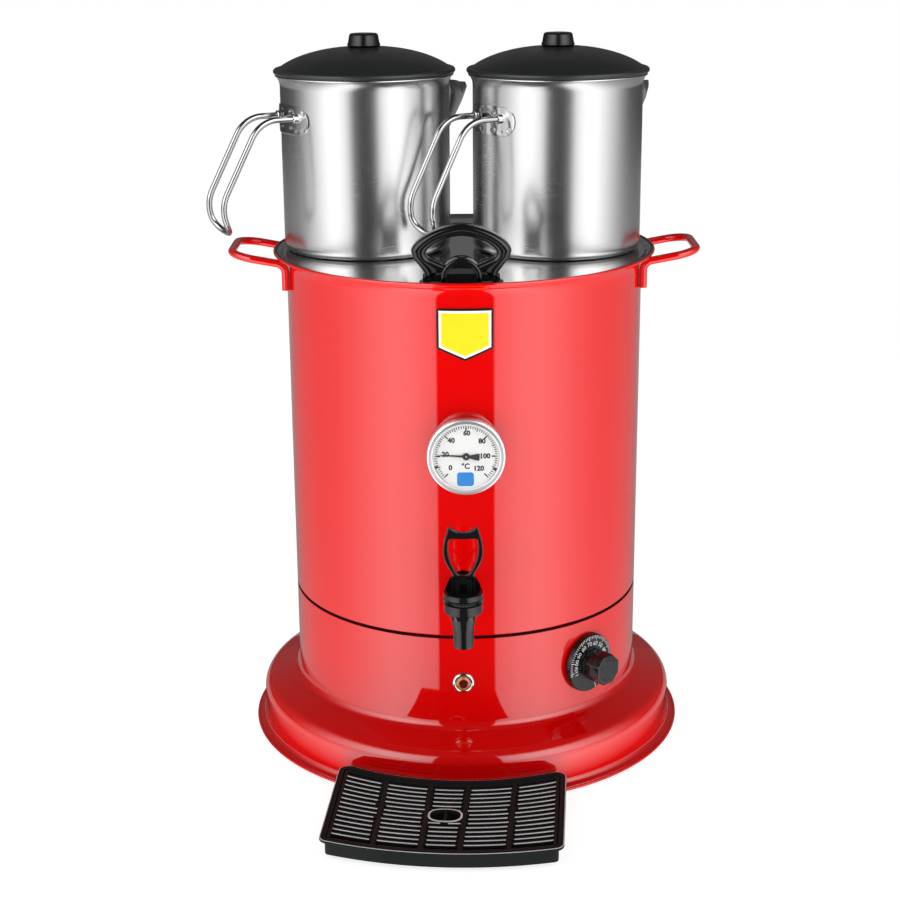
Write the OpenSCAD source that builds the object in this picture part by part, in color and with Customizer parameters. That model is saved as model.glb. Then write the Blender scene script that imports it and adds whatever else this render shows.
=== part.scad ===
// Hot water urn with two pots on its lid, a self-closing tap and a loose drip tray.
// Millimetres. The origin is on the urn's axis at the surface it stands on, and the tap points to -Y.

/* [Casing] */
// Outside radius of the upper and lower casing
body_r = 160; // [150:1:180]
// Sheet thickness of the upper casing
shell_t = 1.0; // [0.6:0.1:1.5]
// Sheet thickness of the lower casing
skirt_t = 1.2; // [0.8:0.1:1.6]
// Height of the seam between the two casings
seam_z = 140; // [125:1:145]
// Open gap at the seam
seam_gap = 0.8; // [0.4:0.1:2]
// Height where the rim starts to flare
flare_z = 439.5; // [420:0.5:470]
// Outside radius of the rim's flare
flare_r = 13.33; // [12:0.1:15]
// Turn of the flare
flare_turn = 77; // [60:1:80]
// Radius of the rolled bead on the rim
rim_bead_r = 1.4; // [1:0.1:2]
// How far the wall of the foot stands out past the casing
foot_step = 34; // [28:1:40]
// Height where the casing's wall starts to widen into the foot
foot_top_z = 60; // [55:1:70]
// Radius of the shoulder on the foot
shoulder_r = 13.5; // [10:0.5:16]
// Height of the foot's shoulder top
shoulder_z = 45; // [42:1:48]
// Reach of the foot's flange past its wall
flange_reach = 8; // [7:0.5:10]
// Height of the flange's top face
flange_z = 4; // [3.5:0.1:5]

/* [Bottom] */
// Height of the bottom cover's underside
cover_z = 8.8; // [8:0.1:12]
// Thickness of the bottom cover
cover_t = 1.2; // [0.8:0.1:2]
// Radius of the circle of feet
feet_circle_r = 150; // [120:1:160]
// Radius of a rubber foot
foot_r = 12; // [8:1:16]
// Length of the ears that take the cover's screws
ear_length = 16; // [14:1:24]

/* [Tank] */
// Space between the casing and the tank, filled by the insulation
wall_gap = 10; // [8.5:0.5:14]
// Sheet thickness of the tank
tank_t = 0.8; // [0.6:0.1:1.2]
// Height of the tank's underside
tank_z = 150; // [149:1:156]
// Length of the cone under the tank's rim
tank_cone = 8; // [6:1:12]
// Clearance between the tank's rim and the casing
tank_clear = 0.05; // [0.02:0.01:0.3]
// Clearance of the insulation to the tank and the casing
wrap_clear = 0.3; // [0.2:0.1:1]

/* [Lid] */
// Height of the lid's top face above the start of the rim's flare
lid_rise = 12.5; // [10.5:0.5:14.5]
// Sheet thickness of the lid
lid_t = 0.8; // [0.6:0.1:1.2]
// Radius of the lid's rolled edge
lid_bead_r = 0.8; // [0.6:0.1:1]
// Gap between the lid's skirt and the tank's rim
lid_gap = 0.55; // [0.3:0.05:1]
// Radius of a steam opening
steam_r = 50; // [40:1:55]
// Thickness of the lid's handle, front to back
lid_grip_depth = 16; // [12:1:18]
// Half of the greatest width of the lid's handle
lid_grip_half_w = 41.25; // [36:0.25:44]
// Height of the lid's handle above the lid
lid_grip_h = 48.3; // [44:0.1:52]

/* [Side handles] */
// Radius of the side handles' rod
rod_r = 3.5; // [3:0.1:4]
// Half of the distance between a side handle's bars
rod_half_gap = 42; // [36:1:48]
// How far each side handle stands out from the casing
rod_out = 47; // [40:1:60]
// Drop of the side handles' feet below the start of the rim's flare
rod_foot_drop = 16.5; // [11.5:1:24.5]

/* [Badge] */
// Width of the badge
badge_w = 47; // [30:1:60]
// Height of the badge, its point included
badge_h = 44.2; // [30:0.1:50]
// Height of the badge's point
badge_point = 10.4; // [4:0.1:16]
// Drop of the badge's top edge below the start of the rim's flare
badge_drop = 8.5; // [3.5:0.5:30]

/* [Thermometer] */
// Height of the thermometer's middle
gauge_z = 306.5; // [280:0.5:340]
// Outside radius of the thermometer's case
gauge_r = 33; // [28:0.5:38]
// Depth of the thermometer's case
gauge_depth = 12; // [10:0.5:16]
// Radius of the visible face
gauge_face_r = 28.5; // [24:0.5:32]
// Radius of the sensing stem
gauge_stem_r = 5; // [4:0.1:6]
// Length of the stem inside the tank
gauge_stem_in = 38; // [25:1:60]

/* [Tap] */
// Sideways place of the tap's axis
tap_x = -4; // [-6:0.5:6]
// Distance of the spout's axis from the casing
tap_reach = 60; // [54:1:70]
// Height of the valve's seat
seat_z = 177; // [175:0.5:182]
// Height of the spout's open end
spout_z = 152.2; // [146:0.2:156]
// Outside radius of the tap's collar
collar_r = 16; // [15:0.5:18]
// Radius of the water shank
shank_r = 8; // [7:0.5:9]
// Radius of the shank's bore
shank_bore_r = 4.5; // [3:0.5:5]
// Radius of the valve stem
stem_r = 2.5; // [2:0.1:2.6]
// Radius of the lever's pin
pin_r = 1.5; // [1.2:0.1:1.6]
// Height of the lever's pin
pin_z = 212; // [211:0.5:213]
// Height of the lever above its pin
lever_h = 50.5; // [46:0.5:56]
// Half of the lever's greatest width
lever_half_w = 16.65; // [14:0.1:20]
// Thickness of the lever
lever_t = 5.5; // [4:0.5:6]
// Radial clearance of running fits
run_clear = 0.05; // [0.02:0.01:0.1]
// Wire radius of the valve's spring
spring_wire_r = 0.6; // [0.4:0.05:0.7]

/* [Pilot lamp] */
// Height of the pilot lamp
lamp_z = 96.2; // [85:0.5:110]
// Radius of the lamp's bezel
lamp_bezel_r = 9.5; // [8:0.5:12]
// Radius of the lamp's lens
lamp_lens_r = 6.65; // [5:0.1:7]

/* [Thermostat] */
// Turn of the thermostat from the front, to the right
thermostat_turn = 42; // [35:1:55]
// Height of the thermostat
thermostat_z = 97.5; // [92:0.5:100]
// Radius of the knob's numbered skirt
knob_r = 27; // [24:0.5:28]
// Radius to the corners of the knob's grip
knob_grip_r = 14.5; // [12:0.5:17]
// Reach of the knob from the casing
knob_reach = 27; // [22:0.5:32]

/* [Heater] */
// Radius of the heating element's ring
element_ring_r = 90; // [70:1:110]
// Radius of the element's tube
element_r = 4.2; // [3:0.1:4.5]
// Height of the element's ring
element_z = 172; // [170:1:180]

/* [Pots] */
// Half of the space between the two pots
pots_half_gap = 10; // [8:0.5:14]
// Sheet thickness of a pot
pot_t = 0.8; // [0.6:0.1:1.2]
// Height of a pot up to its lid's rim
pot_h = 157.5; // [150:0.5:170]
// Reach of a pot lid's rolled rim past the pot's wall
pot_lid_over = 5.5; // [4:0.5:6]
// Rise of the pot lid's dome above its rim
dome_rise = 20.5; // [16:0.5:26]
// Height of a pot's knob
pot_knob_h = 11; // [9:0.5:16]
// Radius of a pot knob's foot
pot_knob_r = 14.8; // [12:0.1:18]
// Shift of the two pots from their even places on the lid, left then right
pot_shift = [[-2, 10], [-1.5, 2]];
// Turn of the two handles from the front to the left
pot_turn = [62, 56.5];
// Reach of the handle's upper bend from the pot's wall
grip_corner_out = 33; // [27:1:41]
// Reach of the handle's lower bend from the pot's wall
grip_knee_out = 80; // [70:1:90]
// Half of the distance between a pot handle's two rods
grip_half_gap = 17.5; // [14:0.5:20]
// Radius of a pot handle's rod
grip_rod_r = 2.6; // [2:0.1:3]
// Reach of the spout's tip from the pot's wall
spout_out = 30; // [23:1:35]

/* [Drip tray] */
// Turn of the tray about the urn's axis
tray_turn = 4.6; // [0:0.1:10]
// Half of the tray's width
tray_half_w = 100.5; // [90:0.5:110]
// Depth of the tray from its rear edge to its front edge
tray_depth = 126; // [105:1:145]
// Gap between the tray and the foot's wall
tray_gap = 1; // [0.5:0.1:2]
// Height of the tray's top edge
tray_top_z = 19.5; // [17:0.5:26]
// Thickness of the tray's walls and floor
tray_t = 2; // [1.5:0.1:3]
// Thickness of the grille
grille_t = 3.2; // [2:0.1:4]
// Pitch of the grille's slots
slot_pitch = 7.2; // [6:0.1:9]
// Width of the grille's slots
slot_w = 3.6; // [2.5:0.1:4.5]
// Radius of the finger hole in the grille
finger_r = 12; // [10:0.5:13]

/* [Hidden] */
$fn = 96;
eps = 0.01;

// Fits that several pieces share
skin = 0.05;   // gap of parts that lie on a curved sheet
rest = 0.3;    // gap of parts that rest loosely
hole = 0.2;    // radial clearance of a hole around a part that is nutted up
drill_in = 12; // where a cut through the casing or the tank starts, inside its wall

// Casing
rod_reach = body_r + rod_out;
rod_foot_z = flare_z - rod_foot_drop;
badge_z = flare_z - badge_drop;
neck_r = body_r - shell_t - rest;
neck_z = seam_z + 7.5;
foot_r_out = body_r + foot_step;
cove_r = 9;
cove_turn = 70;
slope_turn = 69;
flare_x = body_r + flare_r;
bead_at = flare_r + shell_t / 2;
flange_cove_r = flange_reach - 2;
flange_r = foot_r_out + flange_reach - 0.6;
flange_bead_r = 1.25;
cover_r = foot_r_out - skirt_t - 0.4;
ear_z = cover_z + cover_t;
ear_t = 2.5;
ear_r = foot_r_out - skirt_t - ear_length / 2;
cover_screw_r = 2;

// Tank and lid
lid_z = flare_z + lid_rise;
tank_r = body_r - wall_gap;
tank_in_r = tank_r - tank_t;
lip_r = flare_r + shell_t + tank_clear;
tank_top_r = flare_x - lip_r;
cone_z = flare_z - 6.5;
lid_skirt_r = tank_top_r - tank_t - lid_gap;
lid_edge_r = lid_skirt_r + 4.8;
lid_grip_at = [-3.5, 10 - body_r];
steam_y = 6;
lid_screw_x = 22;
lid_screw_r = 2;

// Pieces on the front
gauge_x = -0.6;
gauge_back = body_r + 0.3;
gauge_wall = 2;
dial_at = gauge_wall + 0.7;
dial_t = 0.8;
lens_t = 1.5;
gauge_lip = 1;
reading_turn = 86.6;
pointer_shaft_r = 0.8;
lamp_x = -3.9;
lamp_body_r = 6.2;

// Tap
tap_out = body_r + tap_reach;
shank_z = seat_z + 5;
chamber_r = 11;
seat_r = 8.6;
seat_hole_r = 5;
seat_t = 3;
spout_r = 8.4;
spout_bore_r = 6;
spout_top_z = seat_z - seat_t - 1;
spout_swell = 0.95;
collar_z = seat_z + 6;
collar_h = 8;
neck_out_r = collar_r - 2.5;
ring_z = collar_z + collar_h;
ring_h = 3;
bonnet_z = ring_z + ring_h + 0.2;
bonnet_skirt_h = 6;
floor_z = pin_z - 7.3;
floor_t = 3.5;
dome_z = bonnet_z + 8.8;
dome_h = 21;
dome_r = collar_r + 0.5;
dome_power = 1.25;
slot_half_w = 8.4;
fork_half_w = 8;
fork_gap = stem_r + 0.2;
blade_half_t = 2.3;
cam_half_t = 4.5;
cam_drop = 7;
tap_lift = 4;
stem_plate_z = seat_z + 9.5;
washer_r = 13;
washer_t = 3.4;
back_nut_r = 13.8;
back_nut_h = 7;
gland_nut_r = 9.8;
gland_nut_h = 6.8;
leg_nut_h = 7;

// Thermostat
knob_gap = 0.8;
knob_skirt_t = 4.7;
knob_recess = 2.5;
shaft_r = 3;
thermostat_half_w = 16;
thermostat_depth = 26;
thermostat_front = sqrt(pow(body_r - skirt_t, 2) - pow(thermostat_half_w, 2)) - 0.2;
thermostat_screw_x = 12;
thermostat_screw_in = 11;

// Pots
pot_r = (body_r - pots_half_gap) / 2;
pot_lid_r = pot_r + pot_lid_over;
steam_x = pot_r + pots_half_gap;
pot_at = [[-steam_x, 0] + pot_shift[0], [steam_x, 0] + pot_shift[1]];
spout_reach = pot_r + spout_out;
pot_corner_r = 6;
pot_rim_z = pot_h - 3.5;
pot_flare_z = pot_h - 12.5;
pot_flare_r = 3.5;
pot_bead_r = 0.9;
lid_roll_r = 2.5;
lid_roll_z = pot_rim_z + pot_bead_r + lid_roll_r + 0.1;
pot_skirt_r = pot_r - pot_t - 0.5;
lid_sheet_t = 0.9;
dome_top_z = lid_roll_z + dome_rise;
bracket_z = pot_h - 39;
bracket_h = 25;
bracket_half = 32;
bracket_t = 1.2;
boss_t = 1.6;
grip_start = pot_r - 0.6;
grip_z = pot_h - 36.5;
grip_corner = [pot_r + grip_corner_out, grip_z];
grip_corner_r = 27;
grip_knee = [pot_r + grip_knee_out, pot_h - 123.5];
grip_knee_r = 30;
grip_tip_turn = 74;
gutter_top_z = pot_h - 12;
gutter_bottom_z = pot_h - 50;
gutter_tip_z = pot_h - 19.5;
gutter_half_w = 20;

// Drip tray
tray_rear_r = foot_r_out + tray_gap;
tray_front_r = tray_rear_r + tray_depth;
tray_z = flange_z + rest;
tray_corner_r = 9;
tray_wall_in = 4.5;
tray_lip_in = tray_wall_in + 0.8;
tray_rim_h = 2.5;
ledge_z = 15;
grille_clear = 0.3;
grille_margin = 9;
grille_ribs = [-55.5, -16, 16, 55.5];
rib_w = 4;
finger_at = -tray_rear_r - 61;
tray_foot_r = 7;
tray_foot_x = 70;
tray_foot_y = 36 - tray_front_r;

// Places inside the foot
block_size = [50, 22, 18];
block_at = [0, 96];
block_pitch = 12;
block_hole = 6;
lead_gap = 0.1;
lamp_body_h = 30;
lamp_tab_x = 3;
lamp_tab_h = 7;
cutout_tab_h = 6;
earth_length = 16;
thermostat_tab = [8, 5.5];     // sideways and below the thermostat's middle
cutout_tab_x = 5;
lead_bend_r = 9;
lead_rise = 20;                // how far a lead rises from its terminal
lead_low = [60, 30, 45];       // where the thermostat's lead crosses the foot
lead_high = tank_z - 42;       // height of the leads that cross under the tank
lamp_lead_at = [-20, 20, 40];  // where the lamp's lead crosses the foot
cutout_at = [40, -30];
cutout_r = 9;
cutout_h = 12;
bulb_r = 3.2;
bulb_length = 70;
bulb_at = [55, -80];
earth_turn = 150;
earth_z = 60;
gland_turn = 180;
gland_z = 80;
gland_r = 8;
leg_turn = 20;
elbow_r = 12;
leg_bottom_z = tank_z - 22;
wire_r = 1.2;

// ---------------------------------------------------------------- shared shapes

// Points of an arc about (x, z)
function arc(x, z, r, from, to, n = 8) =
    [for (i = [0:n]) let(a = from + (to - from) * i / n) [x + r * cos(a), z + r * sin(a)]];

function unit(v) = v / norm(v);

// Points of a bend of radius r at corner b
function bend(a, b, c, r, n) =
    let(u = unit(a - b), v = unit(c - b), open = acos(u * v), turn = 180 - open)
    let(middle = b + unit(u + v) * r / sin(open / 2))
    let(s = b + u * r / tan(open / 2) - middle, e = b + v * r / tan(open / 2) - middle)
    [for (i = [0:n]) middle + (s * sin(turn * (1 - i / n)) + e * sin(turn * i / n)) / sin(turn)];

// A path with every inner corner bent to the radius r
function bent(p, r, n = 6) =
    [p[0], for (i = [1:len(p) - 2]) each bend(p[i - 1], p[i], p[i + 1], r, n), p[len(p) - 1]];

function tangent(p, i) = unit(p[min(i + 1, len(p) - 1)] - p[max(i - 1, 0)]);
function across(v, t) = unit(v - (v * t) * t);
function seed(t) = abs(t.z) < 0.8 ? [0, 0, 1] : [0, 1, 0];

// One direction across the path at each point, turned as little as possible
function normals(p) =
    [for (i = 0, n = across(seed(tangent(p, 0)), tangent(p, 0)); i < len(p);
          i = i + 1, n = across(n, tangent(p, min(i, len(p) - 1)))) n];

// A round rod swept along a path
module rod(p, r, sides = 12) {
    n = normals(p);
    last = len(p) - 1;
    points = [for (i = [0:last], k = [0:sides - 1])
        p[i] + r * (cos(360 * k / sides) * n[i] + sin(360 * k / sides) * cross(tangent(p, i), n[i]))];
    walls = [for (i = [0:last - 1], k = [0:sides - 1]) let(j = (k + 1) % sides)
        [i * sides + k, (i + 1) * sides + k, (i + 1) * sides + j, i * sides + j]];
    ends = [[for (k = [0:sides - 1]) k], [for (k = [sides - 1:-1:0]) last * sides + k]];
    polyhedron(points, concat(walls, ends));
}

// Children stand on the casing: their +Z points away from the axis, their +Y up
module on_wall(turn, x, z, out) {
    rotate([0, 0, turn]) translate([x, -out, z]) rotate([90, 0, 0]) children();
}

module tube(r_out, r_in, h) {
    difference() {
        cylinder(r = r_out, h = h);
        translate([0, 0, -1]) cylinder(r = r_in, h = h + 2);
    }
}

// A hexagon nut with its bore
module nut(corner_r, bore_r, h) {
    difference() {
        cylinder(r = corner_r, h = h, $fn = 6);
        translate([0, 0, -1]) cylinder(r = bore_r, h = h + 2);
    }
}

module rounded_plate(w, h, r, t) {
    linear_extrude(t) polygon(concat(
        arc(w / 2 - r, h / 2 - r, r, 0, 90), arc(r - w / 2, h / 2 - r, r, 90, 180),
        arc(r - w / 2, r - h / 2, r, 180, 270), arc(w / 2 - r, r - h / 2, r, 270, 360)));
}

// ---------------------------------------------------------------- casing

// Outline of the lower casing's sheet, set in by e
function skirt_line(e) = [
    [neck_r - e, neck_z], [neck_r - e, seam_z - seam_gap / 2 - e * 0.8],
    [body_r - e, seam_z - 1.4 - e * 0.8], [body_r - e, foot_top_z]];

// Outline of the foot's sheet, set in by e
function foot_line(e) =
    let(base = body_r + cove_r, shoulder_x = foot_r_out - shoulder_r)
    concat(
        arc(base, foot_top_z, cove_r + e, 180, 180 + cove_turn),
        arc(shoulder_x, shoulder_z - shoulder_r, shoulder_r - e, slope_turn, 0),
        arc(foot_r_out + flange_cove_r, flange_z + flange_cove_r, flange_cove_r + e, 180, 270),
        [[flange_r, flange_z - e]]);

function reversed(p) = [for (i = [len(p) - 1:-1:0]) p[i]];

module base_skirt() {
    color("crimson") difference() {
        rotate_extrude() polygon(concat(skirt_line(0), reversed(skirt_line(skirt_t))));
        on_wall(0, lamp_x, lamp_z, body_r - drill_in) cylinder(r = lamp_body_r + hole, h = 20);
        on_wall(thermostat_turn, 0, thermostat_z, body_r - drill_in) cylinder(r = 5, h = 20);
        for (x = [-thermostat_screw_x, thermostat_screw_x])
            on_wall(thermostat_turn, x, thermostat_z, body_r - drill_in) cylinder(r = 2 + hole, h = 20);
        on_wall(gland_turn, 0, gland_z, body_r - drill_in) cylinder(r = gland_r + hole, h = 20);
    }
}

// The foot is welded under the lower casing
module foot_ring() {
    color("crimson") difference() {
        union() {
            rotate_extrude() polygon(concat(foot_line(0), reversed(foot_line(skirt_t))));
            rotate_extrude() translate([flange_r, flange_z - flange_bead_r]) circle(flange_bead_r);
            for (a = [45:90:315]) rotate([0, 0, a])
                translate([foot_r_out - skirt_t - ear_length, -8, ear_z])
                    cube([ear_length + skirt_t / 4, 16, ear_t]);
        }
        for (a = [45:90:315]) rotate([0, 0, a]) translate([ear_r, 0, ear_z - 1])
            cylinder(r = cover_screw_r + hole, h = 6);
    }
}

module bottom_cover() {
    color("silver") difference() {
        translate([0, 0, cover_z]) cylinder(r = cover_r, h = cover_t);
        for (a = [45:90:315]) rotate([0, 0, a]) {
            translate([ear_r, 0, cover_z - 1]) cylinder(r = cover_screw_r + hole, h = 4);
            translate([feet_circle_r, 0, cover_z - 1]) cylinder(r = 3 + hole, h = 4);
        }
    }
}

module rubber_feet() {
    color("dimgray") for (a = [45:90:315]) rotate([0, 0, a]) translate([feet_circle_r, 0, 0]) {
        cylinder(r1 = foot_r - 1.5, r2 = foot_r, h = cover_z);
        translate([0, 0, cover_z]) cylinder(r = 3, h = cover_t + 1);
        translate([0, 0, cover_z + cover_t]) cylinder(r1 = 4, r2 = 2.5, h = 3);
    }
}

module cover_screws() {
    color("silver") for (a = [45:90:315]) rotate([0, 0, a]) translate([ear_r, 0, cover_z]) {
        translate([0, 0, -2]) cylinder(r = 3.8, h = 2);
        cylinder(r = cover_screw_r, h = cover_t + 7);
    }
}

module body_shell() {
    color("crimson") difference() {
        union() {
            rotate_extrude() polygon(concat(
                [[body_r, seam_z + seam_gap / 2]],
                arc(flare_x, flare_z, flare_r, 180, 180 - flare_turn, 10),
                arc(flare_x, flare_z, flare_r + shell_t, 180 - flare_turn, 180, 10),
                [[body_r - shell_t, seam_z + seam_gap / 2]]));
            rotate_extrude() translate([
                flare_x + bead_at * cos(180 - flare_turn), flare_z + bead_at * sin(180 - flare_turn)])
                circle(rim_bead_r);
        }
        on_wall(0, gauge_x, gauge_z, body_r - drill_in) cylinder(r = gauge_stem_r + hole, h = 20);
        on_wall(0, tap_x, shank_z, body_r - drill_in) cylinder(r = shank_r + hole, h = 20);
    }
}

// Path of one side handle, from its front foot around to its rear foot
function side_path() =
    let(x = sqrt(pow(body_r + rod_r + 2 * skin, 2) - pow(rod_half_gap, 2)), y = rod_half_gap)
    let(under = flare_z + 6.2, tip_z = under + 9)
    let(knee = bend([x, -y, rod_foot_z], [x, -y, under], [rod_reach, -y, tip_z], 9, 8))
    let(corner = bend([x, -y, under], [rod_reach, -y, tip_z], [rod_reach, y, tip_z], 22, 10))
    let(half = concat([[x, -y, rod_foot_z]], knee, corner))
    concat(half, [for (q = reversed(half)) [q.x, -q.y, q.z]]);

module side_handle_left() {
    color("crimson") mirror([1, 0, 0]) rod(side_path(), rod_r, 16);
}

module side_handle_right() {
    color("crimson") rod(side_path(), rod_r, 16);
}

module inner_tank() {
    turn = flare_turn - 8;
    color("silver") difference() {
        rotate_extrude() polygon(concat(
            [[0, tank_z]], arc(tank_r - 10, tank_z + 10, 10, 270, 360),
            [[tank_r, cone_z - tank_cone], [tank_top_r, cone_z]],
            arc(flare_x, flare_z, lip_r, 180, 180 - turn),
            arc(flare_x, flare_z, lip_r + tank_t, 180 - turn, 180),
            [[tank_top_r - tank_t, cone_z + tank_t / 2], [tank_in_r, cone_z - tank_cone + tank_t / 2]],
            arc(tank_r - 10, tank_z + 10, 10 - tank_t, 360, 270), [[0, tank_z + tank_t]]));
        on_wall(0, gauge_x, gauge_z, tank_r - drill_in) cylinder(r = gauge_stem_r + hole, h = 20);
        on_wall(0, tap_x, shank_z, tank_r - drill_in) cylinder(r = shank_r + hole, h = 20);
        element_legs() translate([0, 0, tank_z - 5]) cylinder(r = element_r + hole, h = 12);
    }
}

module insulation_wrap() {
    top = cone_z - tank_cone - 5;
    color("lemonchiffon") difference() {
        translate([0, 0, tank_z + 2])
            tube(body_r - shell_t - wrap_clear, tank_r + wrap_clear, top - tank_z - 2);
        on_wall(0, gauge_x, gauge_z, tank_r - drill_in) cylinder(r = gauge_stem_r + 2, h = 30);
        on_wall(0, tap_x, shank_z, tank_r - drill_in) cylinder(r = shank_r + 2, h = 30);
    }
}

// Outline of the badge: a straight top and sides, and a low point below
function badge_line() =
    let(w = badge_w / 2, h = badge_h - badge_point)
    let(p = [[w, 0], [w, -h], [0, -badge_h], [-w, -h], [-w, 0]])
    [for (i = [0:4]) each bend(p[(i + 4) % 5], p[i], p[(i + 1) % 5], 1.5, 4)];

module badge_plate() {
    color("gold") intersection() {
        tube_wall = body_r + skin;
        translate([0, 0, badge_z - 2 * badge_h]) tube(tube_wall + 0.8, tube_wall, 3 * badge_h);
        on_wall(0, -0.9, badge_z, body_r - 20) linear_extrude(30) polygon(badge_line());
    }
}

// ---------------------------------------------------------------- thermometer

module at_gauge() {
    on_wall(0, gauge_x, gauge_z, gauge_back) children();
}

module gauge_case() {
    color("gainsboro") at_gauge() rotate_extrude() polygon([
        [gauge_stem_r + hole, 0], [gauge_r - 2, 0], [gauge_r, 2], [gauge_r, gauge_depth - 1.5],
        [gauge_r - 1.2, gauge_depth], [gauge_face_r + 0.6, gauge_depth],
        [gauge_face_r, gauge_depth - 0.5], [gauge_face_r, gauge_depth - gauge_lip],
        [gauge_r - 3, gauge_depth - gauge_lip], [gauge_r - 3, gauge_wall],
        [gauge_stem_r + hole, gauge_wall]]);
}

module gauge_dial() {
    color("white") at_gauge() translate([0, 0, dial_at]) tube(gauge_r - 3.3, 1.6, dial_t);
}

// Outline of the needle, pointing up, from its tail to its tip
module needle() {
    tip = gauge_r * 0.77;
    tail = gauge_r * 0.34;
    linear_extrude(0.6) polygon([
        [-3.3, -tail], [3.3, -tail], [1, 0], [0.35, tip], [-0.35, tip], [-1, 0]]);
}

module gauge_pointer() {
    color("black") at_gauge() rotate([0, 0, reading_turn]) {
        translate([0, 0, dial_at + dial_t + 1]) needle();
        translate([0, 0, dial_at + dial_t + 0.6]) cylinder(r = 3.1, h = 1.6);
        translate([0, 0, dial_at - 7]) cylinder(r = pointer_shaft_r, h = dial_t + 9.6);
    }
}

module gauge_lens() {
    color("azure", 0.4) at_gauge() translate([0, 0, gauge_depth - gauge_lip - lens_t])
        cylinder(r = gauge_r - 3.2, h = lens_t);
}

module gauge_stem() {
    length = gauge_back - tank_in_r + gauge_stem_in;
    color("silver") at_gauge() difference() {
        union() {
            translate([0, 0, -length]) cylinder(r = gauge_stem_r, h = length + gauge_wall);
            translate([0, 0, gauge_wall]) cylinder(r = gauge_stem_r + 3, h = dial_at - gauge_wall);
        }
        translate([0, 0, dial_at - 8])
            cylinder(r = pointer_shaft_r + run_clear, h = 12);
    }
}

// ---------------------------------------------------------------- tap

module at_tap() {
    translate([tap_x, -tap_out, 0]) children();
}

module tap_body() {
    flange_at = body_r + washer_t;
    color("black") difference() {
        union() {
            at_tap() rotate_extrude() polygon([
                [0, spout_top_z], [spout_r + spout_swell, spout_top_z],
                [spout_r + 4.5, collar_z], [collar_r, collar_z],
                [collar_r, ring_z], [neck_out_r, ring_z], [neck_out_r, bonnet_z + 5.8],
                [0, bonnet_z + 5.8]]);
            on_wall(0, tap_x, shank_z, 0) translate([0, 0, tank_r - 13])
                cylinder(r = shank_r, h = tap_out - tank_r + 10);
            on_wall(0, tap_x, shank_z, flange_at) cylinder(r = washer_r, h = 3);
        }
        at_tap() rotate_extrude() polygon([
            [0, spout_z - 1], [spout_bore_r, spout_z - 1], [spout_bore_r, seat_z - seat_t],
            [seat_hole_r, seat_z - seat_t], [seat_hole_r, seat_z], [seat_r, seat_z],
            [seat_r, collar_z + 1], [chamber_r, collar_z + 3.4], [chamber_r, bonnet_z + 7],
            [0, bonnet_z + 7]]);
        on_wall(0, tap_x, shank_z, 0) translate([0, 0, tank_r - 20])
            cylinder(r = shank_bore_r, h = tap_out - tank_r + 17);
    }
}

// The spout is moulded under the tap's barrel
module tap_spout() {
    color("black") at_tap() rotate_extrude() polygon([
        [spout_bore_r, spout_z], [spout_r - 0.6, spout_z], [spout_r, spout_z + 0.6],
        [spout_r + spout_swell, spout_top_z], [spout_bore_r, spout_top_z]]);
}

module tap_collar() {
    teeth = 48;
    color("black") at_tap() translate([0, 0, ring_z + skin]) difference() {
        linear_extrude(ring_h) polygon([for (i = [0:2 * teeth - 1])
            let(r = collar_r + (i % 2 == 0 ? 0.7 : 0.2), a = 180 * i / teeth) [r * cos(a), r * sin(a)]]);
        translate([0, 0, -1]) cylinder(r = neck_out_r + run_clear, h = ring_h + 2);
    }
}

// Outline of the bonnet, from its bead up to the top of the dome
function dome_line(n = 14) =
    [for (i = [0:n]) let(s = i / n) [dome_r * sqrt(1 - pow(s, dome_power)), dome_z + dome_h * s]];

module tap_bonnet() {
    color("black") at_tap() difference() {
        rotate_extrude() polygon(concat(
            [[neck_out_r + run_clear, bonnet_z], [dome_r, bonnet_z], [dome_r + 0.7, bonnet_z + 1.5],
             [dome_r + 0.7, bonnet_z + 4.5], [dome_r, bonnet_z + 6]],
            dome_line(),
            [[0, floor_z - floor_t], [chamber_r, floor_z - floor_t],
             [chamber_r, bonnet_z + bonnet_skirt_h], [neck_out_r + run_clear, bonnet_z + bonnet_skirt_h]]));
        translate([0, 0, floor_z - floor_t - 1]) cylinder(r = stem_r + run_clear, h = floor_t + 2);
        rotate([90, 0, 90]) translate([0, 0, -slot_half_w]) linear_extrude(2 * slot_half_w) polygon([
            [-cam_half_t - 0.8, floor_z], [-cam_half_t - 0.8, pin_z + 4.9], [-30, pin_z + 29.6],
            [-30, pin_z + 40], [cam_half_t + 4.1, pin_z + 40], [cam_half_t + 4.1, floor_z]]);
    }
}

// Half outline of the lever above its fork, and of the opening in it
function lever_half() =
    let(w = lever_half_w, h = lever_h)
    [[fork_half_w, 2], [fork_half_w, 9], [w * 0.66, h * 0.34], [w * 0.93, h * 0.54], [w, h * 0.67],
     [w * 0.96, h * 0.83], [w * 0.81, h * 0.97], [w * 0.73, h], [w * 0.36, h * 0.957], [0, h * 0.94]];
function opening_half() =
    let(w = lever_half_w, h = lever_h)
    [[w * 0.2, h * 0.19], [w * 0.36, h * 0.28], [w * 0.59, h * 0.515], [w * 0.63, h * 0.67],
     [w * 0.57, h * 0.812]];
function both_sides(p) = concat(p, [for (q = reversed(p)) [-q.x, q.y]]);

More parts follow.
